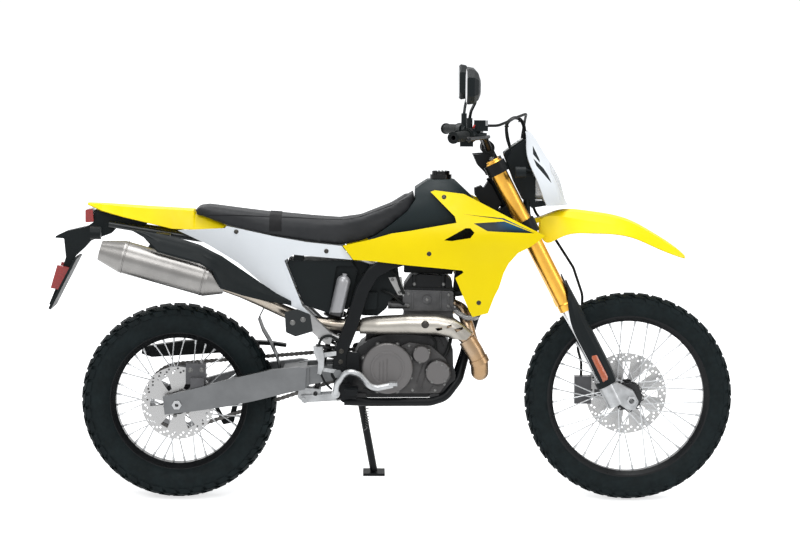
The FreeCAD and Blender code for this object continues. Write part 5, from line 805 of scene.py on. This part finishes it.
def on(node, spots, sides=RIGHT):
    """Places on a node, from spots of x and z."""
    return [(node, x, z, side) for x, z in spots for side in sides]


SHROUD_SCREWS = on("shrouds", ((822, 828), (985, 670), (870, 1012)), BOTH)
bolts_on("shroud_screws", SHROUD_SCREWS, "dark_bolt", 5.6, 3)
bolts_on("side_screws", on("side_panels", ((192, 893), (487, 832)), BOTH), "dark_bolt", 5.6, 3)


def around(x, z, radius, count, start=0.0):
    """Places evenly round a circle in the side view."""
    angles = [start + 2 * math.pi / count * index for index in range(count)]
    return [(x + radius * math.cos(angle), z + radius * math.sin(angle)) for angle in angles]


COVER_BOLTS = around(*CLUTCH, 84, 8, math.pi / 8) + around(*LOW_CAP, 36, 5, 0.4)
COVER_BOLTS += around(*HIGH_CAP, 27, 3, 2.4)
COVER_BOLTS += [(876, 396), (846, 376), (772, 376), (724, 374), (868, 462), (760, 522), (826, 512)]
bolts_on("cover_bolts", on("engine_covers", COVER_BOLTS), "zinc", 3.6, 3)
LEFT_BOLTS = around(800, 442, 64, 7, 0.2) + [(584, 416), (582, 492), (652, 404), (650, 500)]
bolts_on("left_cover_bolts", on("engine_covers", LEFT_BOLTS, LEFT), "zinc", 4.2, 4)
HEAD_BOLTS = on("cam_cover", ((776, 722), (872, 722)), BOTH)
HEAD_BOLTS += on("cylinder_head", ((756, 690), (890, 688), (756, 650), (888, 650)), BOTH)
HEAD_BOLTS += on("cylinder_head", ((818, 672), (704, 735), (728, 694)))
bolts_on("head_bolts", HEAD_BOLTS, "zinc", 4.0, 3)
FRAME_BOLTS = on("main_frame", ((536, 470), (538, 505), (532, 396), (541, 366)), BOTH)
bolts_on("frame_bolts", FRAME_BOLTS, "dark_bolt", 6.0, 5)
bolts_on("shield_bolt", on("header_shield", ((811, 598),)), "dark_bolt", 9.5, 4)
bolts_on("rear_caliper_bolts", on("rear_caliper", ((42, 436), (80, 436))), "zinc", 6, 5)
FRONT_CALIPER_BOLTS = on("front_caliper", ((1344, 332), (1344, 386)), LEFT)
bolts_on("front_caliper_bolts", FRONT_CALIPER_BOLTS, "zinc", 6, 5, "steering")
bolts_on("peg_bolts", on("subframe", ((488, 552), (378, 598), (412, 608))), "zinc", 6.5, 4)
bolts_on("guard_bolts", on("chain_guards", ((252, 500), (110, 490)), LEFT), "zinc", 5, 3)

DISCS = (("front_disc", FRONT_AXLE, LEFT, 43), ("rear_disc", REAR_AXLE, RIGHT, 43))
for name, axle, side, reach in (*DISCS, ("rear_sprocket", REAR_AXLE, LEFT, 46)):
    spots = around(axle.x / MM, axle.z / MM, reach, 6, 0.3)
    bolts_on(name + "_bolts", on(name, spots, side), "zinc", 5, 3.4, name.split("_")[0] + "_wheel")


# Chain: outer and inner links in turn, all the way round both sprockets

PITCH = 15.875
REAR_TEETH, DRIVE_TEETH = 44, 15
CHAIN_Y = 80
# Centres of the rear and the drive sprocket, x and z in millimetres
CENTRES = (Vector((0, 325)), Vector((606, 452)))


def sprocket(teeth):
    """The radius of the circle through the pins, for a number of teeth."""
    return PITCH / (2 * math.sin(math.pi / teeth))


def chain_path():
    """The runs of the chain: its start, end and length, or its centre, radius, first angle and length."""
    rear, front = sprocket(REAR_TEETH), sprocket(DRIVE_TEETH)
    gap = CENTRES[1] - CENTRES[0]
    slope = math.atan2(gap.y, gap.x)
    lead = math.acos((rear - front) / gap.length)
    ends = []
    for angle in (slope + lead, slope - lead):
        way = Vector((math.cos(angle), math.sin(angle)))
        ends.append((CENTRES[0] + way * rear, CENTRES[1] + way * front))
    run = (ends[0][1] - ends[0][0]).length
    return (
        ("line", ends[0][0], ends[0][1], run),
        ("arc", CENTRES[1], front, slope + lead, 2 * lead * front),
        ("line", ends[1][1], ends[1][0], run),
        ("arc", CENTRES[0], rear, slope - lead, 2 * (math.pi - lead) * rear),
    )


def along_chain(path, distance):
    """The point at a distance along the chain's path."""
    for part in path:
        length = part[-1]
        if distance <= length:
            if part[0] == "line":
                return part[1].lerp(part[2], distance / length)
            angle = part[3] - distance / part[2]
            return part[1] + Vector((math.cos(angle), math.sin(angle))) * part[2]
        distance -= length
    return along_chain(path, distance)


def link_plate(build, first, second, low, high, end, waist):
    """A side plate between two pins, with round ends and a waist."""
    ahead = (second - first).normalized()
    up = Vector((-ahead.y, ahead.x))
    outline = []
    for centre, turn in ((second, 0.0), (first, math.pi)):
        for step in range(5):
            angle = turn - math.pi / 2 + math.pi * step / 4
            outline.append(centre + ahead * (end * math.cos(angle)) + up * (end * math.sin(angle)))
        middle = (first + second) / 2
        outline.append(middle + up * (waist if turn == 0.0 else -waist))
    skin(build, [[build.verts.new(at(spot.x, y, spot.y)) for spot in outline] for y in (low, high)])


def chain_links():
    """Narrow and wide links in turn, with their pins and rollers."""
    path = chain_path()
    total = sum(part[-1] for part in path)
    count = 2 * round(total / PITCH / 2)
    pins = [along_chain(path, (total - 0.01) * index / count) for index in range(count)]
    build = bmesh.new()
    across = Vector((0, 1, 0))
    for index in range(count):
        first, second = pins[index], pins[(index + 1) % count]
        start, end = ((5.0, 6.4), (6.6, 8.2))[index % 2]
        for side in BOTH:
            low, high = sorted((CHAIN_Y + side * start, CHAIN_Y + side * end))
            link_plate(build, first, second, low, high, 6.6, 4.6)
        middle = at(first.x, CHAIN_Y, first.y)
        turned_part(build, middle, across, [(2.6, -8.4), (2.6, 8.4)], 8)
        turned_part(build, middle, across, [(4.6, -4.6), (4.6, 4.6)], 10)
    links = finish_mesh("chain_links", build, "chain", "chassis", 40)
    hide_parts("chain")


chain_links()


# Straps, seams and bundles


def swept(build, points, radius, count=8):
    """A round tube through points in millimetres, on a smooth curve."""
    points = [Vector(point) for point in points]
    spots = []
    steps = 6
    size = len(points)
    for index in range(size - 1):
        before = points[max(index - 1, 0)]
        after = points[min(index + 2, size - 1)]
        start, end = points[index], points[index + 1]
        for step in range(steps):
            t = step / steps
            spot = 0.5 * (
                2 * start + (end - before) * t + (2 * before - 5 * start + 4 * end - after) * t * t
                + (3 * start - before - 3 * end + after) * t * t * t
            )
            spots.append(spot)
    spots.append(points[-1])
    normal = Vector((0, 1, 0))
    rings = []
    for index, spot in enumerate(spots):
        ahead = (spots[min(index + 1, len(spots) - 1)] - spots[max(index - 1, 0)]).normalized()
        normal = (normal - ahead * normal.dot(ahead)).normalized()
        side = ahead.cross(normal)
        ring = []
        for turn in range(count):
            angle = 2 * math.pi * turn / count
            out = normal * (radius * math.cos(angle)) + side * (radius * math.sin(angle))
            ring.append(build.verts.new((spot + out) * MM))
        rings.append(ring)
    skin(build, rings)


CABLE_LOOP = ((1092, -24, 1160), (1079, -22, 1205), (1077, -16, 1245), (1092, -8, 1263), (1110, 0, 1268))
CABLE_LOOP += ((1127, 6, 1257), (1136, 10, 1234), (1138, 12, 1196))


def cable_bundle():
    """Three cables side by side round the loop ahead of the bars, with ties around them."""
    build = bmesh.new()
    middle = Vector((1107, 0, 1215))
    for reach, away in ((3.2, -3.4), (-3.0, 0.0), (2.6, 3.4)):
        points = []
        for x, y, z in CABLE_LOOP:
            spot = Vector((x, y, z))
            outward = Vector((spot.x - middle.x, 0, spot.z - middle.z)).normalized()
            points.append(spot + outward * reach + Vector((0, away, 0)))
        swept(build, points, 3.1)
    ties = ((1077, -17, 1240, (0, 0, 1)), (1119, 3, 1263, (1, 0, -0.6)), (1138, 11, 1215, (0, 0, 1)))
    for x, y, z, axis in ties:
        turned_part(build, at(x, y, z - 2), Vector(axis).normalized(), [(7.6, 0), (7.6, 4.5)], 14)
    loop = finish_mesh("cable_bundle", build, "hose", "steering")
    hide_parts("control_cables")


cable_bundle()


# Height that the seat is seen from at its low part, and where that starts to rise towards the tank
SEAT_MIDDLE = 905
SEAT_RISE = 560


def seat_point(tree, x, degrees, height):
    """The cover's surface at x, seen at an angle from the seat's middle: 0 to the left, 90 upwards."""
    way = Vector((0, math.cos(math.radians(degrees)), math.sin(math.radians(degrees))))
    start = at(x, 0, height) + way * 0.3
    hit = tree.ray_cast(start, -way)
    return (hit[0], way) if hit[0] else None


def seat_strap(tree):
    """The flat strap across the seat, its edges turned in."""
    build = bmesh.new()
    profile = [(300, -0.5), (301, 1.8), (320, 2.3), (339, 1.8), (340, -0.5)]
    rows = []
    for step in range(49):
        degrees = -9 + 198 * step / 48
        row = []
        for x, lift in profile:
            found = seat_point(tree, x, degrees, 912)
            if found:
                row.append(build.verts.new(found[0] + found[1] * (lift * MM)))
        if len(row) == len(profile):
            rows.append(row)
    skin(build, rows)
    finish_mesh("seat_strap", build, "strap", "chassis", 50)


def seat_piping(tree):
    """The sewn seam on each side, below the edge of the top."""
    build = bmesh.new()
    for side in BOTH:
        points = []
        for step in range(24):
            x = 72 + step * 29
            middle = SEAT_MIDDLE + max(x - SEAT_RISE, 0) * 0.36
            found = seat_point(tree, x, 90 - side * 66, middle)
            if found:
                points.append((found[0] + found[1] * 0.0004) / MM)
        swept(build, points, 1.3, 6)
    finish_mesh("seat_piping", build, "strap", "chassis")


cover_tree = tree_of(seat_piece.data)
seat_strap(cover_tree)
seat_piping(cover_tree)


# Handlebar, mirrors and gauge


def face_outline(node, side, depth=0.4):
    """The rearmost flat outline of a node on one side, in order round its middle."""
    spots = upright(frame["nodes"][node].data)
    spots = [spot for spot in spots if spot.y * side > 0 and spot.z > 1.3]
    back = min(spot.x for spot in spots)
    ring = {(round(spot.y, 4), round(spot.z, 4)) for spot in spots if spot.x < back + depth * MM}
    middle = Vector((sum(y for y, z in ring), sum(z for y, z in ring))) / len(ring)
    order = sorted(ring, key=lambda spot: math.atan2(spot[1] - middle.y, spot[0] - middle.x))
    return back, middle, [Vector(spot) for spot in order]


def mirror_glasses():
    """A glass on the rear face of each mirror."""
    build = bmesh.new()
    for side in BOTH:
        back, middle, outline = face_outline("mirrors", side)
        rings = []
        for ahead, share in ((0.2, 0.93), (-0.9, 0.93), (-1.3, 0.9)):
            ring = []
            for spot in outline:
                moved = middle + (spot - middle) * share
                ring.append(build.verts.new((back + ahead * MM, moved.x, moved.y)))
            rings.append(ring)
        skin(build, rings, first=False)
    finish_mesh("mirror_glasses", build, "mirror", "steering", 20)


mirror_glasses()


def tilted_plate(build, centre, across, up, half_across, half_up, lift, corner=0.25):
    """A thin plate with cut corners, lifted along its normal, all in millimetres."""
    normal = across.cross(up).normalized()
    cut = min(half_across, half_up) * corner
    outline = []
    for a, b in ((1, 1), (-1, 1), (-1, -1), (1, -1)):
        first = (a * (half_across - cut), b * half_up)
        second = (a * half_across, b * (half_up - cut))
        outline += [second, first] if a * b > 0 else [first, second]
    rings = []
    for height, share in ((-1.0, 1.0), (lift, 1.0), (lift + 0.4, 0.97)):
        ring = []
        for u, v in outline:
            spot = centre + across * u * share + up * v * share + normal * height
            ring.append(build.verts.new(spot * MM))
        rings.append(ring)
    skin(build, rings)


def gauge_face():
    """The bezel, the display and its plain bars, on the sloping top of the gauge."""
    up = Vector((72, 0, 52)).normalized()
    across = Vector((0, -1, 0))
    centre = Vector((1102, 0, 1179))
    bezel = bmesh.new()
    tilted_plate(bezel, centre, across, up, 41, 36, 1.2)
    finish_mesh("gauge_bezel", bezel, "gloss_black", "steering")
    panel = bmesh.new()
    tilted_plate(panel, centre + up * 3, across, up, 32, 22, 2.0)
    finish_mesh("gauge_display", panel, "display", "steering")
    marks = bmesh.new()
    for index in range(9):
        spot = centre + up * 17 + across * (-24 + 6 * index)
        tilted_plate(marks, spot, across, up, 2.0, 3.2, 2.7, 0.05)
    for shift in (-9, 9):
        for rise in (-8, 0, 8):
            tilted_plate(marks, centre + across * shift + up * rise, across, up, 5, 0.9, 2.7, 0.05)
        for turn in BOTH:
            for rise in (-4, 4):
                spot = centre + across * (shift + turn * 6.2) + up * rise
                tilted_plate(marks, spot, across, up, 0.9, 3, 2.7, 0.05)
    finish_mesh("gauge_marks", marks, "gloss_black", "steering")


gauge_face()


def fork_caps():
    """Caps and damping adjusters on the fork tubes."""
    gold = bmesh.new()
    knobs = bmesh.new()
    for side in BOTH:
        top = fork_top(side)
        turned_part(gold, top, STEER_UP, [(23, -1), (23, 4), (21, 6), (14, 6.5)], 24)
        turned_part(knobs, top, STEER_UP, [(9, 6), (9, 12), (7.5, 13.5)], 6)
        turned_part(knobs, top, STEER_UP, [(4, 13), (4, 17), (3, 17.6)], 12)
    finish_mesh("fork_caps", gold, "gold", "steering")
    finish_mesh("fork_adjusters", knobs, "zinc", "steering")


def fork_top(side):
    """The middle of a fork tube's upper end, from the node itself."""
    spots = upright(frame["nodes"]["fork_tubes"].data)
    high = max(spot.dot(STEER_UP) for spot in spots)
    ring = [spot for spot in spots if spot.dot(STEER_UP) > high - 0.0002 and spot.y * side > 0]
    low = Vector(min(spot[axis] for spot in ring) for axis in range(3))
    top = Vector(max(spot[axis] for spot in ring) for axis in range(3))
    return (low + top) / 2


fork_caps()


# Hoses, clamps, brackets and the small parts of the engine


def clamps():
    """Band clamps on the radiator hose."""
    build = bmesh.new()
    turned_part(build, at(910, -69, 644), Vector((16, -12, -24)).normalized(), [(10.6, -3), (10.6, 3)], 20)
    turned_part(build, at(990, -84, 634), Vector((12, 0, 48)).normalized(), [(10.6, -3), (10.6, 3)], 20)
    finish_mesh("hose_clamps", build, "zinc", "chassis")


clamps()


def prism(build, outline, low, high, inset=0.0):
    """A plate from an outline of x and z between two y, its outer face drawn in by inset."""
    middle = Vector((sum(x for x, z in outline), sum(z for x, z in outline))) / len(outline)
    rings = []
    quarter = (high - low) * 0.25
    for y, share in ((high, inset), (high - quarter, 0.0), (low + quarter, 0.0), (low, inset)):
        ring = []
        for x, z in outline:
            spot = Vector((x, z))
            drawn = spot + (middle - spot).normalized() * share
            ring.append(build.verts.new(at(drawn.x, y, drawn.y)))
        rings.append(ring)
    skin(build, rings)


def brake_master():
    """The rear master cylinder with its bracket on the frame."""
    build = bmesh.new()
    body = [(446, 522), (476, 522), (484, 486), (482, 452), (472, 428), (460, 432), (462, 470), (448, 500)]
    prism(build, body, -146, -128, 2)
    prism(build, [(474, 500), (522, 506), (522, 492), (478, 484)], -136, -129, 1)
    prism(build, [(470, 452), (522, 446), (522, 432), (474, 440)], -136, -129, 1)
    finish_mesh("rear_master_cylinder", build, "silver_cast", "chassis")
    rods = bmesh.new()
    swept(rods, [(472, -137, 430), (486, -136, 402), (508, -135, 380)], 3.5)
    swept(rods, [(462, -137, 520), (474, -134, 548), (500, -131, 556), (532, -130, 540)], 4.5)
    finish_mesh("rear_master_rod", rods, "hose", "chassis")


brake_master()


def under_tank():
    """The wiring and the coil under the tank, the hose from the head to the radiator, and two oil pipes."""
    build = bmesh.new()
    prism(build, [(742, 757), (902, 752), (914, 800), (742, 806)], -46, 46, 3)
    prism(build, [(905, 690), (926, 690), (950, 790), (914, 796)], -40, 40, 3)
    swept(build, [(904, -48, 690), (930, -60, 694), (958, -64, 704), (990, -60, 700)], 11, 12)
    swept(build, [(680, -70, 786), (716, -78, 752), (730, -82, 716), (742, -82, 690)], 5)
    swept(build, [(668, -66, 700), (700, -80, 690), (726, -84, 668), (742, -82, 655)], 4.5)
    finish_mesh("under_tank_loom", build, "hose", "chassis")
    pipe = bmesh.new()
    swept(pipe, [(790, -100, 560), (828, -104, 556), (848, -106, 530), (842, -108, 506)], 4, 10)
    swept(pipe, [(862, -106, 470), (884, -104, 500), (896, -90, 540), (898, -72, 566)], 6, 12)
    finish_mesh("oil_pipes", pipe, "hose", "chassis")


under_tank()


def engine_ribs():
    """Raised ribs on the engine's right side."""
    build = bmesh.new()
    lines = (((806, 462), (786, 400)), ((822, 452), (802, 384)))
    lines += (((838, 388), (826, 372)), ((770, 520), (742, 508)))
    for start, end in lines:
        ribs_between(build, "engine_covers", Vector(start), Vector(end), 3.2, 3)
    for start, end in (((664, 470), (664, 412)), ((676, 476), (676, 404)), ((688, 482), (688, 404))):
        ribs_between(build, "engine_covers", Vector(start), Vector(end), 3.0, 2)
    finish_mesh("cover_ribs", build, "cover", "chassis")
    case = bmesh.new()
    lines = (((884, 540), (900, 500)), ((860, 546), (872, 520)))
    lines += (((610, 380), (640, 366)), ((600, 470), (600, 420)))
    for start, end in lines:
        ribs_between(case, "crankcase", Vector(start), Vector(end), 4, 5)
    finish_mesh("case_ribs", case, "engine", "chassis")


def ribs_between(build, node, start, end, width, height, steps=6):
    """A low rib on a node's right face, from start to end in the side view."""
    across = Vector((-(end - start).y, (end - start).x)).normalized() * (width / 2)
    rows = []
    for step in range(steps + 1):
        spot = start.lerp(end, step / steps)
        hit = surface(node, spot.x, spot.y, -1)
        if hit is None:
            continue
        y = hit[0].y / MM
        row = []
        for share, lift in ((-1, 1.0), (-0.6, -height), (0.6, -height), (1, 1.0)):
            row.append(build.verts.new(at(spot.x + across.x * share, y + lift, spot.y + across.y * share)))
        rows.append(row)
    if len(rows) > 1:
        skin(build, rows)


engine_ribs()


def patch_on(build, node, corners, side, lift, rows=4, columns=10):
    """A raised patch that follows a node's outer face, between four corners of x and z."""
    grid = []
    for row in range(rows + 1):
        line = []
        for column in range(columns + 1):
            low = Vector(corners[0]).lerp(Vector(corners[1]), row / rows)
            high = Vector(corners[3]).lerp(Vector(corners[2]), row / rows)
            spot = low.lerp(high, column / columns)
            hit = surface(node, spot.x, spot.y, side)
            if hit is None:
                return
            rim = row in (0, rows) or column in (0, columns)
            line.append(build.verts.new(hit[0] + Vector((0, side * (-0.5 if rim else lift) * MM, 0))))
        grid.append(line)
    for low, high in zip(grid, grid[1:]):
        for index in range(columns):
            corners_of = (low[index], low[index + 1], high[index + 1], high[index])
            build.faces.new(corners_of if side > 0 else corners_of[::-1])


def fork_reflectors():
    """An amber reflector on each fork guard."""
    build = bmesh.new()
    for side in BOTH:
        patch_on(build, "fork_guards", [(1352, 497), (1374, 500), (1416, 420), (1396, 408)], side, 3.0)
    finish_mesh("fork_reflectors", build, "amber", "steering", 30)


fork_reflectors()


# Upper and lower edge of the silencer's cover, x and z in millimetres
COVER_TOP = ((-142, 905), (-92, 897), (-43, 889), (7, 878), (81, 856))
COVER_TOP += ((150, 821), (219, 771), (279, 727), (326, 693), (372, 667))
COVER_LOW = ((-141, 904), (-101, 882), (-55, 835), (14, 816), (83, 798))
COVER_LOW += ((122, 775), (147, 719), (217, 693), (290, 672), (373, 655))
# The silencer's middle line: its front end, its distance to the side and its rise towards the tail
CAN_X, CAN_Y, CAN_Z, CAN_RISE = 160, -190, 725, 0.277
COVER_REACH = 61.0


def cover_depth(x, z):
    """How far out the silencer's cover stands: round the can behind, then drawn in over its inlet pipe."""
    rise = (z - (CAN_Z + (CAN_X - x) * CAN_RISE)) * 0.964
    flank = min(max(rise, -40.0), 34.0)
    round_can = CAN_Y - math.sqrt(COVER_REACH**2 - flank**2) + max(rise - 34.0, 0) * 0.62
    flat = -247 + max(0, x - 110) * 0.5 + max(rise, 0) * 0.25
    blend = min(max((x - 60) / 110, 0), 1)
    y = round_can * (1 - blend) + flat * blend
    hit = surface("side_panels", x, z, -1)
    return min(y, hit[0].y / MM - 7) if hit else y


def silencer_cover():
    """The black moulded cover outside the silencer, with a fold along it and its edges turned in."""
    build = bmesh.new()
    steps = 4
    rows = 9
    grid = []
    for index in range((len(COVER_TOP) - 1) * steps + 1):
        first = min(index // steps, len(COVER_TOP) - 2)
        share = index / steps - first
        high = Vector(COVER_TOP[first]).lerp(Vector(COVER_TOP[first + 1]), share)
        low = Vector(COVER_LOW[first]).lerp(Vector(COVER_LOW[first + 1]), share)
        line = []
        for row in range(rows + 1):
            spot = low.lerp(high, row / rows)
            y = cover_depth(spot.x, spot.y)
            edge = 5.0 if row in (0, rows) else 0.0
            fold = 2.2 if row == 5 else 0.0
            line.append(build.verts.new(at(spot.x, y + edge - fold, spot.y)))
        grid.append(line)
    for low, high in zip(grid, grid[1:]):
        for row in range(rows):
            build.faces.new((low[row], high[row], high[row + 1], low[row + 1]))
    cover = finish_mesh("silencer_cover", build, "black", "chassis", 32)
    shell = cover.modifiers.new("shell", "SOLIDIFY")
    shell.thickness = 0.0028
    shell.offset = 0
    bake(cover)
    soften(cover.data, 32)
    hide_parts("silencer_shield")


silencer_cover()


def silencer_rings():
    """Two rolled seams round the silencer."""
    build = bmesh.new()
    low, high = at(CAN_X, CAN_Y, CAN_Z), at(-172, CAN_Y, 817)
    up = (high - low).normalized()
    profile = [(52.6, -2.5), (54.4, -1.2), (54.4, 1.2), (52.6, 2.5)]
    for reach in (335, 72):
        turned_part(build, low + up * reach * MM, up, profile, 64)
    finish_mesh("silencer_seams", build, "silencer", "chassis")


silencer_rings()


def cap_ribs():
    """Grip ribs round the fuel cap."""
    build = bmesh.new()
    for index in range(14):
        angle = 2 * math.pi * index / 14
        way = Vector((math.cos(angle), math.sin(angle), 0))
        side = Vector((-way.y, way.x, 0))
        centre = at(862, 0, 1079)
        corners = []
        for height in (0, 12.6):
            for out, wide in ((24, -3), (29, -3), (29, 3), (24, 3)):
                corners.append(centre + (way * out + side * wide + Vector((0, 0, height))) * MM)
        block(build, corners)
    finish_mesh("fuel_cap_ribs", build, "gloss_black", "chassis")


cap_ribs()


def stand_spring():
    """The return spring behind the side stand's leg."""
    pivot = UNPLACE @ joint_place("side_stand_fold")
    foot = min(upright(frame["nodes"]["side_stand"].data), key=lambda spot: spot.z)
    ahead = (foot - pivot).normalized()
    side = ahead.cross(Vector((1, 0, 0))).normalized()
    back = side.cross(ahead).normalized()
    start = pivot / MM - ahead * 4 + back * 21
    points = []
    turns = 9
    for index in range(turns * 8 + 1):
        angle = 2 * math.pi * index / 8
        reach = 18 + 88 * index / (turns * 8)
        points.append(start + ahead * reach + side * (6 * math.cos(angle)) + back * (6 * math.sin(angle)))
    build = bmesh.new()
    swept(build, points, 1.4, 6)
    swept(build, [start + ahead * 4 - back * 12, start + ahead * 8, start + ahead * 18 + side * 6], 1.4, 6)
    swept(build, [points[-1], start + ahead * 114 - back * 4, start + ahead * 120 - back * 12], 1.4, 6)
    finish_mesh("stand_spring", build, "zinc", "side_stand")


stand_spring()


def switches():
    """The red button on the right pod and the grey ones on both."""
    red = bmesh.new()
    grey = bmesh.new()
    for side, build in ((-1, red), (1, grey)):
        place = bar_line(side, 142)
        spot = (place + Vector((-21, 0, 8))) * MM
        turned_part(build, spot, Vector((-1, 0, 0.35)).normalized(), [(6, 0), (6, 4.5), (4.5, 5.5)], 16)
        lower = (place + Vector((-20, 0, -9))) * MM
        turned_part(grey, lower, Vector((-1, 0, -0.2)).normalized(), [(4.5, 0), (4.5, 4), (3.5, 4.8)], 12)
    finish_mesh("stop_button", red, "red_plastic", "steering")
    finish_mesh("switch_buttons", grey, "button", "steering")


switches()


# Floor, lamps and camera


def show_apart(tree, lit, seen, output):
    """One shader for what lights the scene, another for what the camera, a gloss or a glass shows."""
    path = tree.nodes.new("ShaderNodeLightPath")
    share = path.outputs["Is Camera Ray"]
    for kind in ("Is Glossy Ray", "Is Transmission Ray"):
        most = tree.nodes.new("ShaderNodeMath")
        most.operation = "MAXIMUM"
        tree.links.new(share, most.inputs[0])
        tree.links.new(path.outputs[kind], most.inputs[1])
        share = most.outputs[0]
    mixed = tree.nodes.new("ShaderNodeMixShader")
    for source, socket in zip((share, lit.outputs[0], seen.outputs[0]), mixed.inputs):
        tree.links.new(source, socket)
    tree.links.new(mixed.outputs[0], tree.nodes[output].inputs["Surface"])


def floor():
    """A matt floor that the camera sees brighter than it is lit."""
    mesh = bpy.data.meshes.new("floor")
    build = bmesh.new()
    size = 40
    corners = ((-size, -size), (size, -size), (size, size), (-size, size))
    build.faces.new([build.verts.new((x, y, 0)) for x, y in corners])
    build.to_mesh(mesh)
    build.free()
    thing = placed("floor", mesh)
    material = bpy.data.materials.new("floor_white")
    material.use_nodes = True
    tree = material.node_tree
    shader = tree.nodes["Principled BSDF"]
    shader.inputs["Base Color"].default_value = (0.86, 0.86, 0.86, 1)
    shader.inputs["Roughness"].default_value = 0.9
    shader.inputs["Specular IOR Level"].default_value = 0.0
    glow = tree.nodes.new("ShaderNodeEmission")
    glow.inputs["Strength"].default_value = 0.70
    added = tree.nodes.new("ShaderNodeAddShader")
    tree.links.new(shader.outputs[0], added.inputs[0])
    tree.links.new(glow.outputs[0], added.inputs[1])
    show_apart(tree, shader, added, "Material Output")
    mesh.materials.append(material)


def world():
    """A pale sky that lights, and plain white behind it for the camera."""
    scene = bpy.context.scene
    scene.world = bpy.data.worlds.new("studio")
    scene.world.use_nodes = True
    tree = scene.world.node_tree
    back = tree.nodes["Background"]
    back.inputs["Color"].default_value = (0.9, 0.95, 1.0, 1)
    back.inputs["Strength"].default_value = 0.37
    white = tree.nodes.new("ShaderNodeBackground")
    white.inputs["Color"].default_value = (1, 1, 1, 1)
    white.inputs["Strength"].default_value = 1.0
    show_apart(tree, back, white, "World Output")


def lamp(name, place, target, size, power, height=None):
    """A rectangular lamp, turned to its target."""
    data = bpy.data.lights.new(name, "AREA")
    data.shape = "RECTANGLE"
    data.size = size
    data.size_y = height or size
    data.energy = power
    thing = placed(name, data)
    thing.location = place
    thing.rotation_euler = (Vector(target) - Vector(place)).to_track_quat("-Z", "Y").to_euler()


def camera():
    """The camera of the photograph, fitted to the upright machine and carried along with its lean."""
    yaw, pitch, roll, focal = 0.0121, 0.0875, 0.0073, 2665.3
    ahead = Vector((math.sin(yaw) * math.cos(pitch), math.cos(yaw) * math.cos(pitch), -math.sin(pitch)))
    right = Vector((math.cos(yaw), -math.sin(yaw), 0))
    up = right.cross(ahead)
    turned_right = right * math.cos(roll) + up * math.sin(roll)
    turned_up = up * math.cos(roll) - right * math.sin(roll)
    basis = Matrix((turned_right, turned_up, -ahead)).transposed().to_4x4()
    basis.translation = at(622.95, -8791.0, 1544.7)
    data = bpy.data.cameras.new("camera")
    sensor, photo_width = 36, 800
    data.sensor_width = sensor
    data.lens = sensor * focal / photo_width
    data.clip_end = 200
    thing = placed("camera", data)
    thing.matrix_world = PLACE @ basis
    bpy.context.scene.camera = thing


floor()
world()
lamp("key", (-1.5, -4.5, 5.0), (0, 0, 0.5), 3.0, 150)
lamp("top", (0.3, 0.3, 4.5), (0, 0, 0.6), 3.0, 126)
lamp("side", (4.0, -2.0, 2.2), (0.3, 0, 0.6), 1.2, 34, 3.0)
lamp("back", (-3.0, 4.0, 3.0), (0, 0, 0.6), 2.0, 57)
camera()

scene = bpy.context.scene
scene.view_settings.view_transform = "Standard"
